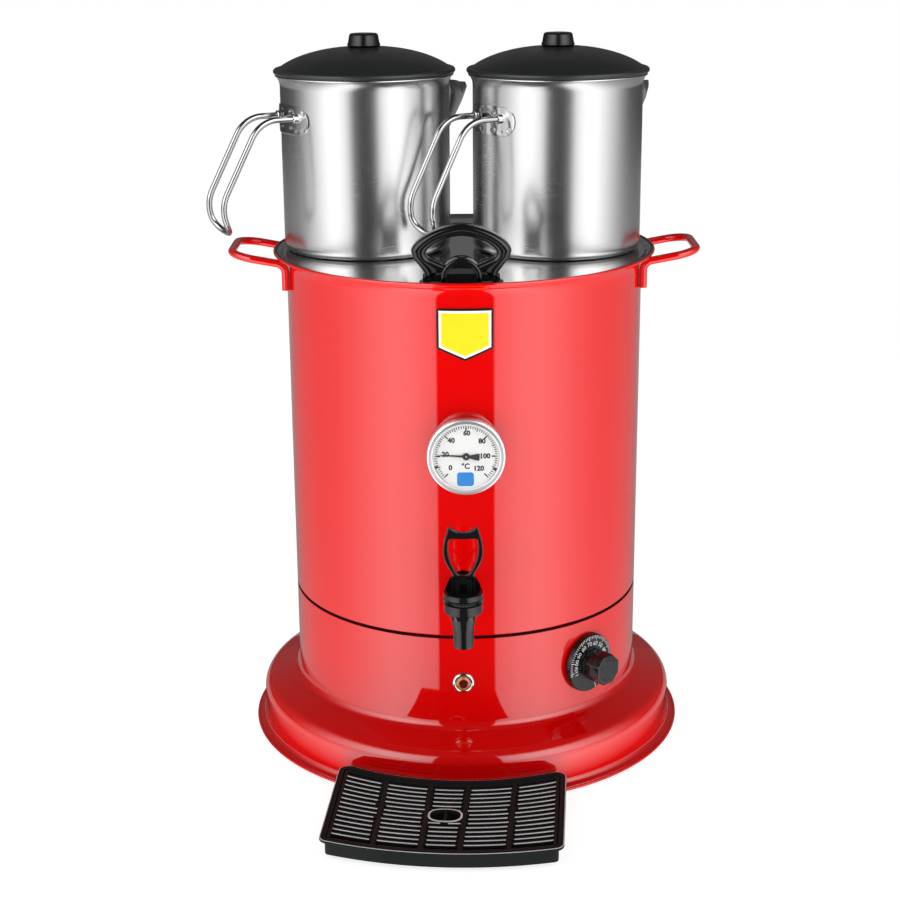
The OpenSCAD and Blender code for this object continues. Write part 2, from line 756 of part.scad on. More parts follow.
module tap_lever() {
    color("black") at_tap() translate([0, 0, pin_z]) difference() {
        union() {
            rotate([90, 0, 0]) translate([0, 0, -lever_t / 2]) linear_extrude(lever_t) difference() {
                polygon(both_sides(lever_half()));
                polygon(both_sides(opening_half()));
            }
            translate([-fork_half_w, -cam_half_t, -cam_drop])
                cube([2 * fork_half_w, 2 * cam_half_t, cam_drop + 2]);
            translate([-fork_half_w, -lever_t / 2, 0]) cube([2 * fork_half_w, lever_t, 4]);
        }
        translate([-fork_gap, -10, -cam_drop - 1]) cube([2 * fork_gap, 20, cam_drop + 8]);
        translate([-20, 0, 0]) rotate([0, 90, 0]) cylinder(r = pin_r + run_clear, h = 40);
    }
}

module tap_lever_pin() {
    color("silver") at_tap() translate([-fork_half_w, 0, pin_z]) rotate([0, 90, 0])
        cylinder(r = pin_r, h = 2 * fork_half_w);
}

module tap_stem() {
    color("silver") at_tap() difference() {
        union() {
            translate([0, 0, seat_z + 3.5]) cylinder(r = stem_r, h = floor_z - seat_z - 3.4);
            translate([0, 0, stem_plate_z]) cylinder(r = seat_r - 1.2, h = 1.2);
            translate([-blade_half_t, -3.5, floor_z + 0.1])
                cube([2 * blade_half_t, 7, pin_z - floor_z + 3.9]);
        }
        translate([-10, 0, pin_z]) rotate([0, 90, 0]) cylinder(r = pin_r + run_clear / 2, h = 20);
    }
}

module tap_seat_cup() {
    color("whitesmoke") at_tap() difference() {
        translate([0, 0, seat_z + skin]) cylinder(r = seat_r - 0.8, h = stem_plate_z - seat_z - 2 * skin);
        translate([0, 0, seat_z + 3.5 - skin]) cylinder(r = stem_r + skin, h = 20);
    }
}

module tap_spring() {
    turns = 5;
    steps = 16;
    low = stem_plate_z + 1.2 + spring_wire_r + skin;
    high = floor_z - floor_t - spring_wire_r - skin;
    color("silver") at_tap() rod([for (i = [0:turns * steps])
        let(a = 360 * i / steps) [5.2 * cos(a), 5.2 * sin(a), low + (high - low) * i / (turns * steps)]],
        spring_wire_r, 6);
}

// One washer against the casing and one inside the tank
module tap_washers() {
    color("dimgray") difference() {
        on_wall(0, tap_x, shank_z, 0) {
            translate([0, 0, body_r - 4]) tube(washer_r, shank_r + skin, washer_t + 4 - skin);
            translate([0, 0, tank_in_r - washer_t]) tube(washer_r, shank_r + skin, washer_t + 2);
        }
        translate([0, 0, shank_z - 2 * washer_r]) tube(body_r + skin, tank_in_r - skin, 4 * washer_r);
    }
}

// ---------------------------------------------------------------- pilot lamp

module lamp_bezel() {
    color("silver") on_wall(0, lamp_x, lamp_z, body_r + skin) rotate_extrude() polygon([
        [lamp_lens_r + skin, 0], [lamp_bezel_r - 0.3, 0], [lamp_bezel_r, 0.4],
        [lamp_bezel_r - 0.6, 1.4], [lamp_bezel_r - 1.6, 1.95], [lamp_lens_r + skin, 1.95]]);
}

module lamp_lens() {
    color("orange") on_wall(0, lamp_x, lamp_z, body_r + skin) {
        cylinder(r = lamp_lens_r, h = 2.2);
        translate([0, 0, 2.2]) cylinder(r1 = lamp_lens_r, r2 = 4.2, h = 1.6, $fn = 12);
    }
}

module lamp_body() {
    color("whitesmoke") on_wall(0, lamp_x, lamp_z, body_r - lamp_body_h) {
        cylinder(r = lamp_body_r, h = lamp_body_h);
        for (x = [-lamp_tab_x, lamp_tab_x]) translate([x - 0.4, -2.4, -lamp_tab_h])
            cube([0.8, 4.8, lamp_tab_h + eps]);
    }
}

module lamp_nut() {
    color("whitesmoke") on_wall(0, lamp_x, lamp_z, body_r - skirt_t - 4.8)
        tube(9, lamp_body_r + skin, 4);
}

// ---------------------------------------------------------------- thermostat

module at_thermostat(out) {
    on_wall(thermostat_turn, 0, thermostat_z, out) children();
}

module thermostat_knob() {
    color("black") at_thermostat(body_r + knob_gap) difference() {
        union() {
            cylinder(r = knob_r, h = 2);
            translate([0, 0, 2]) cylinder(r1 = knob_r, r2 = knob_r - 2.5, h = knob_skirt_t - 2);
            rotate([0, 0, 22.5]) translate([0, 0, knob_recess + 0.5])
                cylinder(r = knob_grip_r, h = knob_reach - knob_gap - knob_recess - 0.5, $fn = 8);
        }
        translate([0, 0, -1]) cylinder(r = 20, h = knob_recess + 1);
        translate([0, 0, -1]) cylinder(r = shaft_r + run_clear / 2, h = 19);
    }
}

module thermostat_shaft() {
    color("silver") at_thermostat(thermostat_front - 6)
        cylinder(r = shaft_r, h = body_r + knob_gap + 17.5 - thermostat_front + 6);
}

module thermostat_body() {
    w = thermostat_half_w;
    color("whitesmoke") at_thermostat(thermostat_front - thermostat_depth) difference() {
        translate([-w, -w, 0]) cube([2 * w, 2 * w, thermostat_depth]);
        translate([0, 0, thermostat_depth - 8]) cylinder(r = shaft_r + run_clear, h = 10);
        for (x = [-thermostat_screw_x, thermostat_screw_x])
            translate([x, 0, thermostat_depth - 12]) cylinder(r = 2 + run_clear, h = 14);
    }
}

module thermostat_screws() {
    head = sqrt(pow(body_r, 2) - pow(thermostat_screw_x - 3.6, 2)) + skin;
    color("silver") for (x = [-thermostat_screw_x, thermostat_screw_x])
        on_wall(thermostat_turn, x, thermostat_z, head) {
            cylinder(r = 3.6, h = 1.9);
            translate([0, 0, thermostat_front - head - thermostat_screw_in])
                cylinder(r = 2, h = head - thermostat_front + thermostat_screw_in + 0.5);
        }
}

// Sensing bulb under the tank, with its capillary back to the thermostat
module thermostat_bulb() {
    start = [sin(thermostat_turn), -cos(thermostat_turn)] * (thermostat_front - thermostat_depth - skin);
    bulb_z = tank_z - bulb_r - rest;
    color("goldenrod") {
        translate([bulb_at.x, bulb_at.y, bulb_z]) rotate([0, -90, 0]) cylinder(r = bulb_r, h = bulb_length);
        rod(bent([[start.x, start.y, thermostat_z + 10.5],
                  [bulb_at.x + 15, bulb_at.y - 2, thermostat_z + 14.5],
                  [bulb_at.x + 23, bulb_at.y, thermostat_z + 27.5],
                  [bulb_at.x + 21, bulb_at.y, bulb_z], [bulb_at.x - 2, bulb_at.y, bulb_z]], 7), 0.8, 8);
    }
}

module safety_cutout() {
    color("black") translate([cutout_at.x, cutout_at.y, tank_z - cutout_h - skin]) {
        cylinder(r = cutout_r, h = cutout_h);
        for (x = [-cutout_tab_x, cutout_tab_x]) translate([x - 3, -0.4, -cutout_tab_h])
            cube([6, 0.8, cutout_tab_h + eps]);
    }
}

// ---------------------------------------------------------------- heater and wiring

// Children stand at the foot of each leg of the element
module element_legs() {
    for (s = [-1, 1]) {
        a = 90 - s * leg_turn;
        reach = [-sin(a) * -s, cos(a) * -s] * elbow_r;
        at = element_ring_r * [cos(a), sin(a)] - reach;
        translate([at.x, at.y, 0]) children();
    }
}

// Path of the element: a ring open at the rear, with both ends bent down
function element_path() =
    let(r = element_ring_r, a = leg_turn, n = 40)
    let(ring = [for (i = [0:n]) let(t = 90 + a + (360 - 2 * a) * i / n) [r * cos(t), r * sin(t), element_z]])
    let(p = ring[0], q = ring[n])
    let(d = unit([sin(90 + a), -cos(90 + a), 0]))
    let(down = [for (k = [0:6]) let(b = 90 * (1 - k / 6))
        p + d * elbow_r * sin(b) - [0, 0, elbow_r * (1 - cos(b))]])
    let(foot = [down[0].x, down[0].y, leg_bottom_z])
    let(half = concat([foot], [for (k = [0:5]) down[k]]))
    concat(half, ring, [for (w = reversed(half)) [-w.x, w.y, w.z]]);

module heating_element() {
    color("dimgray") rod(element_path(), element_r, 10);
}

// The nuts that hold the thermometer, the tap and the element in the tank
module tank_nuts() {
    color("goldenrod") {
        on_wall(0, gauge_x, gauge_z, tank_in_r - gland_nut_h - 0.8)
            nut(gland_nut_r, gauge_stem_r + skin, gland_nut_h);
        on_wall(0, tap_x, shank_z, tank_in_r - washer_t - back_nut_h - skin)
            nut(back_nut_r, shank_r + skin, back_nut_h);
        element_legs() {
            translate([0, 0, tank_z - leg_nut_h - skin]) nut(11, element_r + skin, leg_nut_h);
            translate([0, 0, tank_z + tank_t + skin]) tube(8, element_r + skin, 3);
        }
    }
}

module terminal_block() {
    color("whitesmoke") translate([block_at.x, block_at.y, ear_z + skin]) difference() {
        translate([-block_size.x / 2, -block_size.y / 2, 0]) cube(block_size);
        for (k = [-3:2:3]) translate([k * block_pitch / 2, 0, block_size.z - block_hole])
            cylinder(r = 2.6, h = block_hole + 1);
    }
}

// Leads inside the foot, each from one terminal to the next
module wiring() {
    x = lamp_x - lamp_tab_x;
    lamp_end = lamp_tab_h + lamp_body_h - body_r + lead_gap;
    tab_x = [cutout_at.x - cutout_tab_x, cutout_at.x + cutout_tab_x];
    tab_z = tank_z - cutout_h - cutout_tab_h - skin - lead_gap;
    leg_x = element_ring_r * sin(leg_turn) - elbow_r * cos(leg_turn);
    leg_y = element_ring_r * cos(leg_turn) + elbow_r * sin(leg_turn);
    leg_end = leg_bottom_z - lead_gap;
    earth_end = body_r - skirt_t - earth_length - lead_gap;
    color("firebrick") {
        lead([terminal(1, 0), terminal(1, lead_rise), lead_low, at_back(1, 25), at_back(1, 0)]);
        lead([at_back(-1, 0), at_back(-1, lead_rise), [tab_x[1], cutout_at.y, lead_high],
              [tab_x[1], cutout_at.y, tab_z]]);
        lead([[tab_x[0], cutout_at.y, tab_z], [tab_x[0], cutout_at.y, lead_high + 2],
              [leg_x, leg_y, lead_high - 4], [leg_x, leg_y, leg_end]]);
        lead([terminal(-1, 0), terminal(-1, lead_rise + 10), [-leg_x, leg_y, lead_high - 16],
              [-leg_x, leg_y, leg_end]]);
        lead([terminal(-3, 0), terminal(-3, lead_rise), lamp_lead_at, [x, 70 - body_r, 60],
              [x, lamp_end + 18, lamp_z], [x, lamp_end, lamp_z]]);
        lead([terminal(3, 0), terminal(3, lead_rise), around(earth_turn, earth_end - lead_rise, earth_z),
              around(earth_turn, earth_end, earth_z)]);
    }
}

module lead(path) {
    rod(bent(path, lead_bend_r), wire_r, 6);
}

// A point at a turn from the front, a distance from the axis and a height
function around(turn, out, z) = [out * sin(turn), -out * cos(turn), z];

// A point at or above a hole of the terminal block, counted in half pitches from its middle
function terminal(half_pitches, up) =
    let(hole_z = ear_z + block_size.z - block_hole + 2 * skin)
    [block_at.x + half_pitches * block_pitch / 2, block_at.y, hole_z + up];

// A point behind the thermostat's right (1) or left (-1) tab, at a gap from its back face
function at_back(side, gap) =
    let(z = thermostat_z - (side > 0 ? thermostat_tab.y : -2.5))
    around(thermostat_turn, thermostat_front - thermostat_depth - lead_gap - gap, z)
        + side * thermostat_tab.x * [cos(thermostat_turn), sin(thermostat_turn), 0];

module earth_stud() {
    color("goldenrod") on_wall(earth_turn, 0, earth_z, body_r - skirt_t - earth_length) {
        cylinder(r = 2.5, h = earth_length - skin);
        translate([0, 0, 6]) cylinder(r = 5.5, h = 4, $fn = 6);
    }
}

module cable_gland() {
    color("black") on_wall(gland_turn, 0, gland_z, body_r - 14) {
        difference() {
            union() {
                cylinder(r = gland_r, h = 20);
                translate([0, 0, 14 + skin]) cylinder(r = gland_r + 3, h = 5, $fn = 6);
                translate([0, 0, 19]) cylinder(r1 = gland_r + 2, r2 = gland_r - 1, h = 9);
            }
            translate([0, 0, -1]) cylinder(r = 4, h = 40);
        }
        translate([0, 0, 14 - skirt_t - 5.2]) nut(gland_r + 4, gland_r + skin, 4.6);
    }
}

// ---------------------------------------------------------------- lid

module urn_lid() {
    low = flare_z - 3.5;
    color("silver") difference() {
        union() {
            translate([0, 0, lid_z - lid_t]) cylinder(r = lid_edge_r, h = lid_t);
            rotate_extrude() translate([lid_edge_r, lid_z - lid_bead_r]) circle(lid_bead_r);
            translate([0, 0, low]) tube(lid_skirt_r, lid_skirt_r - 0.6, lid_z - lid_t - low + eps);
            for (x = [-steam_x, steam_x]) translate([x, steam_y, lid_z - 6])
                cylinder(r = steam_r + 0.8, h = 6 - lid_t + eps);
        }
        for (x = [-steam_x, steam_x]) translate([x, steam_y, lid_z - 10]) cylinder(r = steam_r, h = 20);
        lid_screw_places() translate([0, 0, -5]) cylinder(r = lid_screw_r + hole, h = 10);
    }
}

// Children stand at the lid's top face, at each screw of its handle
module lid_screw_places() {
    for (x = [-lid_screw_x, lid_screw_x]) translate([lid_grip_at.x + x, lid_grip_at.y, lid_z]) children();
}

// Points of a lens-shaped arch of half width a and height b
function arch(a, b, z, power, from, to, n = 18) =
    [for (i = [0:n]) let(t = from + (to - from) * i / n, c = cos(t), s = sin(t))
        [a * sign(c) * pow(abs(c), 2 / power), z + b * pow(abs(s), 2 / power)]];

module lid_handle() {
    w = lid_grip_half_w;
    h = lid_grip_h;
    wide_z = 26;
    hand_w = w - 12.2;
    hand_z = h - 10.1;
    boss_r = 17.25;
    color("black") translate([lid_grip_at.x, lid_grip_at.y, lid_z]) difference() {
        rotate([90, 0, 0]) translate([0, 0, -lid_grip_depth / 2]) linear_extrude(lid_grip_depth) {
            difference() {
                polygon(concat([[w * 0.8, 0], [w * 0.76, 2.5], [w * 0.715, 6], [w * 0.75, 9], [w * 0.96, 20]],
                    arch(w, h - wide_z, wide_z, 1.6, 0, 180),
                    [[-w * 0.96, 20], [-w * 0.75, 9], [-w * 0.715, 6], [-w * 0.76, 2.5], [-w * 0.8, 0]]));
                polygon(concat([[hand_w * 0.6, 14], [hand_w * 0.94, 21]],
                    arch(hand_w, hand_z - 24, 24, 1.7, 0, 180),
                    [[-hand_w * 0.94, 21], [-hand_w * 0.6, 14]]));
            }
            intersection() {
                translate([0, 20.4 - boss_r]) circle(boss_r);
                translate([-w, 0]) square([2 * w, h]);
            }
        }
        translate([0, -lid_grip_depth / 2 - 1, 3]) rotate([-90, 0, 0]) cylinder(r = 11.5, h = 3);
        for (x = [-lid_screw_x, lid_screw_x]) translate([x, 0, -1])
            cylinder(r = lid_screw_r + run_clear, h = 11);
    }
}

module lid_handle_screws() {
    color("silver") lid_screw_places() {
        translate([0, 0, -lid_t - 2.2]) cylinder(r = 3.6, h = 2.2);
        translate([0, 0, -lid_t - 1]) cylinder(r = lid_screw_r, h = 10);
    }
}

// ---------------------------------------------------------------- pots

// Children are drawn on the pot's axis at the lid's top face, with the handle to +X
module at_pot(side) {
    translate([pot_at[side].x, pot_at[side].y, lid_z]) rotate([0, 0, -90 - pot_turn[side]]) children();
}

function pot_wall(e) =
    let(r = pot_r - e, c = pot_corner_r)
    concat([[0, e]], arc(pot_r - c, c, c - e, 270, 360),
        [for (i = [0:6]) let(s = i / 6)
            [r + pot_flare_r * s * s, pot_flare_z + (pot_rim_z - pot_flare_z) * s]]);

module pot_body() {
    color("silver") difference() {
        union() {
            rotate_extrude() polygon(concat(pot_wall(0), reversed(pot_wall(pot_t))));
            rotate_extrude() translate([pot_r + pot_flare_r - pot_t / 2, pot_rim_z]) circle(pot_bead_r);
        }
        for (k = [0:3], a = [-1, 0, 1]) rotate([0, 0, 180 + a * (4 + 1.6 * k)])
            translate([pot_r - 4, 0, gutter_bottom_z + 9 + 7.5 * k]) rotate([0, 90, 0])
                cylinder(r = 2.2, h = 8);
    }
}

// One side of the pouring gutter is a flat sheet from the wall to the tip
module gutter(e) {
    z0 = gutter_bottom_z + 3 * e;
    tip = [-spout_reach + 2 * e, 0, gutter_tip_z];
    wall = -pot_r + 6;
    half = gutter_half_w - e;
    top = gutter_top_z;
    polyhedron(
        [[wall, 0, z0 - 4], [wall, -half - 2, top], [wall, half + 2, top], tip],
        [[0, 1, 2], [0, 3, 1], [0, 2, 3], [1, 3, 2]]);
}

module pot_spout() {
    color("silver") difference() {
        gutter(0);
        translate([0, 0, eps]) gutter(1.1);
        translate([0, 0, -1]) cylinder(r = pot_r + skin, h = pot_flare_z + 1);
        translate([0, 0, pot_flare_z - eps])
            cylinder(r1 = pot_r + skin, r2 = pot_r + pot_flare_r + 0.9, h = pot_rim_z - pot_flare_z);
    }
}

// Stadium of half length l and height h, pushed out by t along +X
module stadium(l, h, t) {
    rotate([90, 0, 90]) linear_extrude(t) union() {
        square([2 * l - h, h], center = true);
        for (s = [-1, 1]) translate([s * (l - h / 2), 0]) circle(h / 2);
    }
}

module pot_bracket() {
    wall = pot_r + skin;
    color("silver") difference() {
        union() {
            intersection() {
                translate([0, 0, bracket_z - bracket_h]) cylinder(r = wall + bracket_t, h = 2 * bracket_h);
                translate([pot_r - 20, 0, bracket_z]) stadium(bracket_half, bracket_h, 40);
            }
            grip_places(pot_r - 10) cylinder(r = grip_rod_r + boss_t, h = 13);
        }
        translate([0, 0, bracket_z - 2 * bracket_h]) cylinder(r = wall, h = 4 * bracket_h);
        grip_places(grip_start - 0.2) cylinder(r = grip_rod_r + skin, h = 30);
    }
}

// Children stand on the two rods' axes, pointing away from the pot
module grip_places(out) {
    for (s = [-1, 1]) translate([out, s * grip_half_gap, grip_z]) rotate([0, 90, 0]) children();
}

// Profile of the handle's middle line: reach from the axis and height, at the distance l along it
function grip_line(l) =
    let(turn = atan2(grip_corner.y - grip_knee.y, grip_knee.x - grip_corner.x))
    let(cut = grip_corner_r * tan(turn / 2), l1 = grip_corner.x - cut - grip_start)
    let(l2 = l1 + grip_corner_r * turn * PI / 180)
    let(run = norm(grip_knee - grip_corner) - cut - grip_knee_r * tan(45.3), l3 = l2 + run)
    let(dir = [cos(turn), -sin(turn)], side = [-sin(turn), -cos(turn)])
    let(p2 = grip_corner + dir * cut, p3 = p2 + dir * run, middle = p3 + side * grip_knee_r)
    l < l1 ? [grip_start + l, grip_corner.y]
    : l < l2 ? let(b = (l - l1) / grip_corner_r * 180 / PI)
        [grip_corner.x - cut + grip_corner_r * sin(b), grip_corner.y - grip_corner_r * (1 - cos(b))]
    : l < l3 ? p2 + dir * (l - l2)
    : let(b = (l - l3) / grip_knee_r * 180 / PI)
        middle - side * grip_knee_r * cos(b) + dir * grip_knee_r * sin(b);

function grip_length() =
    let(turn = atan2(grip_corner.y - grip_knee.y, grip_knee.x - grip_corner.x))
    let(cut = grip_corner_r * tan(turn / 2))
    grip_corner.x - cut - grip_start + grip_corner_r * turn * PI / 180
        + norm(grip_knee - grip_corner) - cut - grip_knee_r * tan(45.3)
        + grip_knee_r * grip_tip_turn * PI / 180;

// Path of both rods, joined at the low end by a round bend that follows the profile
function grip_path() =
    let(last = grip_length(), g = grip_half_gap, n = 30, m = 14)
    let(side = [for (i = [0:n - 1]) let(q = grip_line((last - g) * i / n)) [q.x, g, q.y]])
    let(turn = [for (i = [0:m]) let(b = 180 * i / m, q = grip_line(last - g + g * sin(b)))
        [q.x, g * cos(b), q.y]])
    concat(side, turn, [for (q = reversed(side)) [q.x, -q.y, q.z]]);

module pot_handle() {
    color("silver") rod(grip_path(), grip_rod_r, 12);
}

module pot_lid() {
    roll_x = pot_lid_r - lid_roll_r;
    color("dimgray") {
        difference() {
            union() {
                rotate_extrude() translate([roll_x, lid_roll_z]) circle(lid_roll_r);
                rotate_extrude() polygon(concat(dome_curve(0), reversed(dome_curve(lid_sheet_t))));
                translate([0, 0, pot_h - 11]) tube(pot_skirt_r, pot_skirt_r - 0.8, 14.4);
            }
            translate([0, 0, dome_top_z - 8]) cylinder(r = 2 + hole, h = 16);
        }
    }
}

// Section of the dome: a cap that falls from the middle to the rolled rim
function dome_curve(e) =
    let(a = pot_lid_r - lid_roll_r - 1)
    [for (i = [0:14]) let(s = i / 14)
        [a * s, lid_roll_z + 1.2 - e + (dome_rise - 1.2) * pow(1 - pow(s, 2.3), 0.8)]];

module pot_knob() {
    foot = dome_top_z + 0.3;
    color("black") {
        rotate_extrude() polygon([
            [0, foot], [pot_knob_r - 0.8, foot], [pot_knob_r, foot + 0.8],
            [pot_knob_r - 2, foot + pot_knob_h - 1.2], [pot_knob_r - 3.2, foot + pot_knob_h],
            [0, foot + pot_knob_h]]);
        translate([0, 0, foot - 8]) cylinder(r = 2, h = 8 + eps);
        translate([0, 0, dome_top_z - lid_sheet_t - 3.6]) cylinder(r = 5, h = 3.3, $fn = 6);
    }
}

module pot_left_body() { at_pot(0) pot_body(); }
module pot_left_spout() { at_pot(0) pot_spout(); }
module pot_left_bracket() { at_pot(0) pot_bracket(); }
module pot_left_handle() { at_pot(0) pot_handle(); }
module pot_left_lid() { at_pot(0) pot_lid(); }
module pot_left_knob() { at_pot(0) pot_knob(); }
module pot_right_body() { at_pot(1) pot_body(); }
module pot_right_spout() { at_pot(1) pot_spout(); }
module pot_right_bracket() { at_pot(1) pot_bracket(); }
module pot_right_handle() { at_pot(1) pot_handle(); }
module pot_right_lid() { at_pot(1) pot_lid(); }
module pot_right_knob() { at_pot(1) pot_knob(); }

// ---------------------------------------------------------------- drip tray

// The tray's plan, set in by e: two arcs about the urn's axis joined by straight sides
function tray_outline(e) =
    let(w = tray_half_w - e, front = tray_front_r - e, rear = tray_rear_r + e, c = max(tray_corner_r - e, 1))
    let(fy = sqrt(pow(front - c, 2) - pow(w - c, 2)), ry = sqrt(pow(rear + c, 2) - pow(w - c, 2)))
    let(fa = atan2(-fy, w - c), ra = atan2(ry, c - w))
    concat(
        arc(w - c, -fy, c, 0, fa), arc(0, 0, front, fa, -180 - fa, 24), arc(c - w, -fy, c, -180 - fa, -180),
        arc(c - w, -ry, c, 180, 180 - ra), arc(0, 0, rear, -ra, ra - 180, 24), arc(w - c, -ry, c, ra, 0));

module in_tray() {
    rotate([0, 0, -tray_turn]) children();
}

module drip_tray() {
    color("black") in_tray() difference() {
        union() {
            translate([0, 0, tray_z]) linear_extrude(tray_top_z - tray_z - eps)
                polygon(tray_outline(tray_wall_in));
            translate([0, 0, tray_top_z - tray_rim_h]) linear_extrude(tray_rim_h) polygon(tray_outline(0));
        }
        translate([0, 0, tray_z + tray_t]) linear_extrude(30) polygon(tray_outline(tray_wall_in + tray_t));
        translate([0, 0, ledge_z]) linear_extrude(30) polygon(tray_outline(tray_lip_in));
    }
}

module drip_grille() {
    inset = tray_lip_in + grille_clear;
    edges = concat([-tray_half_w], grille_ribs, [tray_half_w]);
    count = floor((tray_front_r - tray_rear_r - 2 * grille_margin) / slot_pitch);
    first = tray_rear_r + grille_margin + slot_w / 2;
    color("black") in_tray() translate([0, 0, ledge_z + skin]) linear_extrude(grille_t) difference() {
        polygon(tray_outline(inset));
        difference() {
            intersection() {
                polygon(tray_outline(grille_margin));
                for (k = [0:count - 1]) difference() {
                    circle(first + k * slot_pitch + slot_w / 2);
                    circle(first + k * slot_pitch - slot_w / 2);
                }
                for (i = [0:len(edges) - 2]) translate([edges[i] + rib_w / 2, -tray_front_r])
                    square([edges[i + 1] - edges[i] - rib_w, tray_front_r]);
            }
            translate([0, finger_at]) circle(finger_r + 3);
        }
        translate([0, finger_at]) difference() {
            circle(finger_r);
            square([2 * finger_r + 2, 2.4], center = true);
        }
    }
}

module tray_feet() {
    color("dimgray") in_tray() for (s = [-1, 1]) translate([s * tray_foot_x, tray_foot_y, 0])
        cylinder(r = tray_foot_r, h = tray_z);
}

base_skirt();
foot_ring();
bottom_cover();
rubber_feet();
cover_screws();
body_shell();
side_handle_left();
side_handle_right();
inner_tank();
insulation_wrap();
badge_plate();
gauge_case();
gauge_dial();
gauge_pointer();
gauge_lens();
gauge_stem();
tank_nuts();
tap_body();
tap_spout();
tap_collar();
tap_bonnet();
tap_lever();
tap_lever_pin();
tap_stem();
tap_seat_cup();
tap_spring();
tap_washers();
lamp_bezel();
lamp_lens();
lamp_body();
lamp_nut();
thermostat_knob();
thermostat_shaft();
thermostat_body();
thermostat_screws();
thermostat_bulb();
safety_cutout();
heating_element();
terminal_block();
wiring();
earth_stud();
cable_gland();
urn_lid();
lid_handle();
lid_handle_screws();
pot_left_body();
pot_left_spout();
pot_left_bracket();
pot_left_handle();
pot_left_lid();
pot_left_knob();
pot_right_body();
pot_right_spout();
pot_right_bracket();
pot_right_handle();
pot_right_lid();
pot_right_knob();
drip_tray();
drip_grille();
tray_feet();
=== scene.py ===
"""Hot water urn with two pots, tap, thermometer, thermostat and drip tray, dressed round its CAD frame."""

import math

import bmesh
import bpy
import numpy as np
from mathutils import Matrix


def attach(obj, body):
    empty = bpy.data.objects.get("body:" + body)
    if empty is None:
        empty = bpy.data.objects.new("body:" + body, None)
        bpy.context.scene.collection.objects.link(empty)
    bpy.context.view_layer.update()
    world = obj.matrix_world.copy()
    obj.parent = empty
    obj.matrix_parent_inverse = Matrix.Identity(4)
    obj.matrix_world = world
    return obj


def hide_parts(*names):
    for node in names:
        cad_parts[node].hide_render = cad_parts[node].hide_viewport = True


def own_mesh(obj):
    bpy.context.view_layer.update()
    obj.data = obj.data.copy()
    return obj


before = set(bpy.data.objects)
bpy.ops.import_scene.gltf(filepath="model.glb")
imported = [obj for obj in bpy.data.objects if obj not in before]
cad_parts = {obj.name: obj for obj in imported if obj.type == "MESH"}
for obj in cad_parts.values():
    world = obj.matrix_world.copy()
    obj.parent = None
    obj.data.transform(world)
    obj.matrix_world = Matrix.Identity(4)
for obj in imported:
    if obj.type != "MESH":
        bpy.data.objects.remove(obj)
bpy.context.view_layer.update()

bl_info = {
    "name": "Hot water urn",
    "version": (1, 0, 0),
    "blender": (4, 5, 0),
    "location": "3D View > Sidebar > Urn",
    "description": "Builds the enamelled urn, its fittings, its two pots, the drip tray and the stage",
    "category": "Add Mesh",
}

MM = 0.001

# Casing, in millimetres
BODY_R = 160.0
SHELL_T = 1.0
SKIRT_T = 1.2
SEAM_Z = 140.0
SEAM_GAP = 1.1
NECK_R, NECK_Z = BODY_R - 1.3, SEAM_Z + 7.5
FOOT_TOP_Z = 60.0
FOOT_R = BODY_R + 34
COVE_R, COVE_TURN = 9.0, 70
SHOULDER_R, SHOULDER_Z, SLOPE_TURN = 13.5, 45.0, 69
FLANGE_COVE_R, FLANGE_Z = 6.0, 4.0
FLANGE_R, FLANGE_BEAD_R = FOOT_R + 7.4, 1.25
FLARE_Z, FLARE_R, FLARE_TURN = 439.5, 13.33, 77
FLARE_X = BODY_R + FLARE_R
RIM_BEAD_R = 1.4
ROD_R, ROD_HALF_GAP = 3.5, 42.0
LID_Z = 452.0

# Fittings
BADGE_W, BADGE_H, BADGE_POINT, BADGE_Z, BADGE_X = 47.0, 44.2, 10.4, 431.0, -0.9
GAUGE_X, GAUGE_Z, GAUGE_R, GAUGE_DEPTH, GAUGE_OUT = -0.6, 306.5, 33.0, 12.0, BODY_R + 0.3
DIAL_Z, DIAL_T = 2.7, 4.7
READING_TURN = 86.6
SCALE_R = 0.79 * GAUGE_R
INK_SUNK, INK_T = 0.02, 0.05
NUMBER_SEATS = {0: (-13.1, -9.7), 20: (-17.2, 1.9), 40: (-12.3, 13.9), 60: (0.6, 20.2), 80: (13.2, 13.2),
                100: (16.1, 0.3), 120: (10.9, -10.4)}
TAP_X, TAP_OUT = -4.0, BODY_R + 60
SEAT_Z, SPOUT_Z, PIN_Z = 177.0, 152.2, 212.0
COLLAR_R, COLLAR_Z = 16.0, SEAT_Z + 11.2
RING_Z, RING_H, LEDGE_Z = SEAT_Z + 20.6, 3.4, SEAT_Z + 29.2
LEVER_H, LEVER_T = 50.5, 5.5
LAMP_X, LAMP_Z = -3.9, 96.2
KNOB_TURN, KNOB_Z, KNOB_R, KNOB_REACH = 42.0, 97.5, 27.0, 27.0

# Pots, from the lid's top face
POT_R, POT_T, POT_H = 75.0, 0.8, 157.5
POT_PLACES = {"left": (-87.0, 10.0, 62.0), "right": (83.5, 2.0, 56.5)}
POT_LID_R = POT_R + 5.5
GRIP_ROD_R, GRIP_HALF_GAP, GRIP_Z = 2.6, 17.5, POT_H - 36.5
BRACKET_Z, BRACKET_HALF, BRACKET_H = POT_H - 39, 32.0, 25.0

# Drip tray
TRAY_TURN = 4.6
TRAY_HALF_W, TRAY_REAR_R, TRAY_FRONT_R, TRAY_CORNER_R = 100.5, FOOT_R + 1, FOOT_R + 127, 9.0
TRAY_Z, TRAY_TOP_Z = 4.3, 19.5
GRILLE_Z, GRILLE_T, SLOT_PITCH, SLOT_W = 15.05, 3.2, 7.2, 3.6
FINGER_AT, FINGER_W, FINGER_D, FINGER_RIM = -TRAY_REAR_R - 61, 12.6, 9.2, 2.1
RIBS = (-55.5, -16.0, 16.0, 55.5)
# Quads of a bar's section that get a pale painted highlight along its front edge
PAINTED_HIGHLIGHT_EDGE = np.isin(np.arange(16), (1, 2)).astype(int)

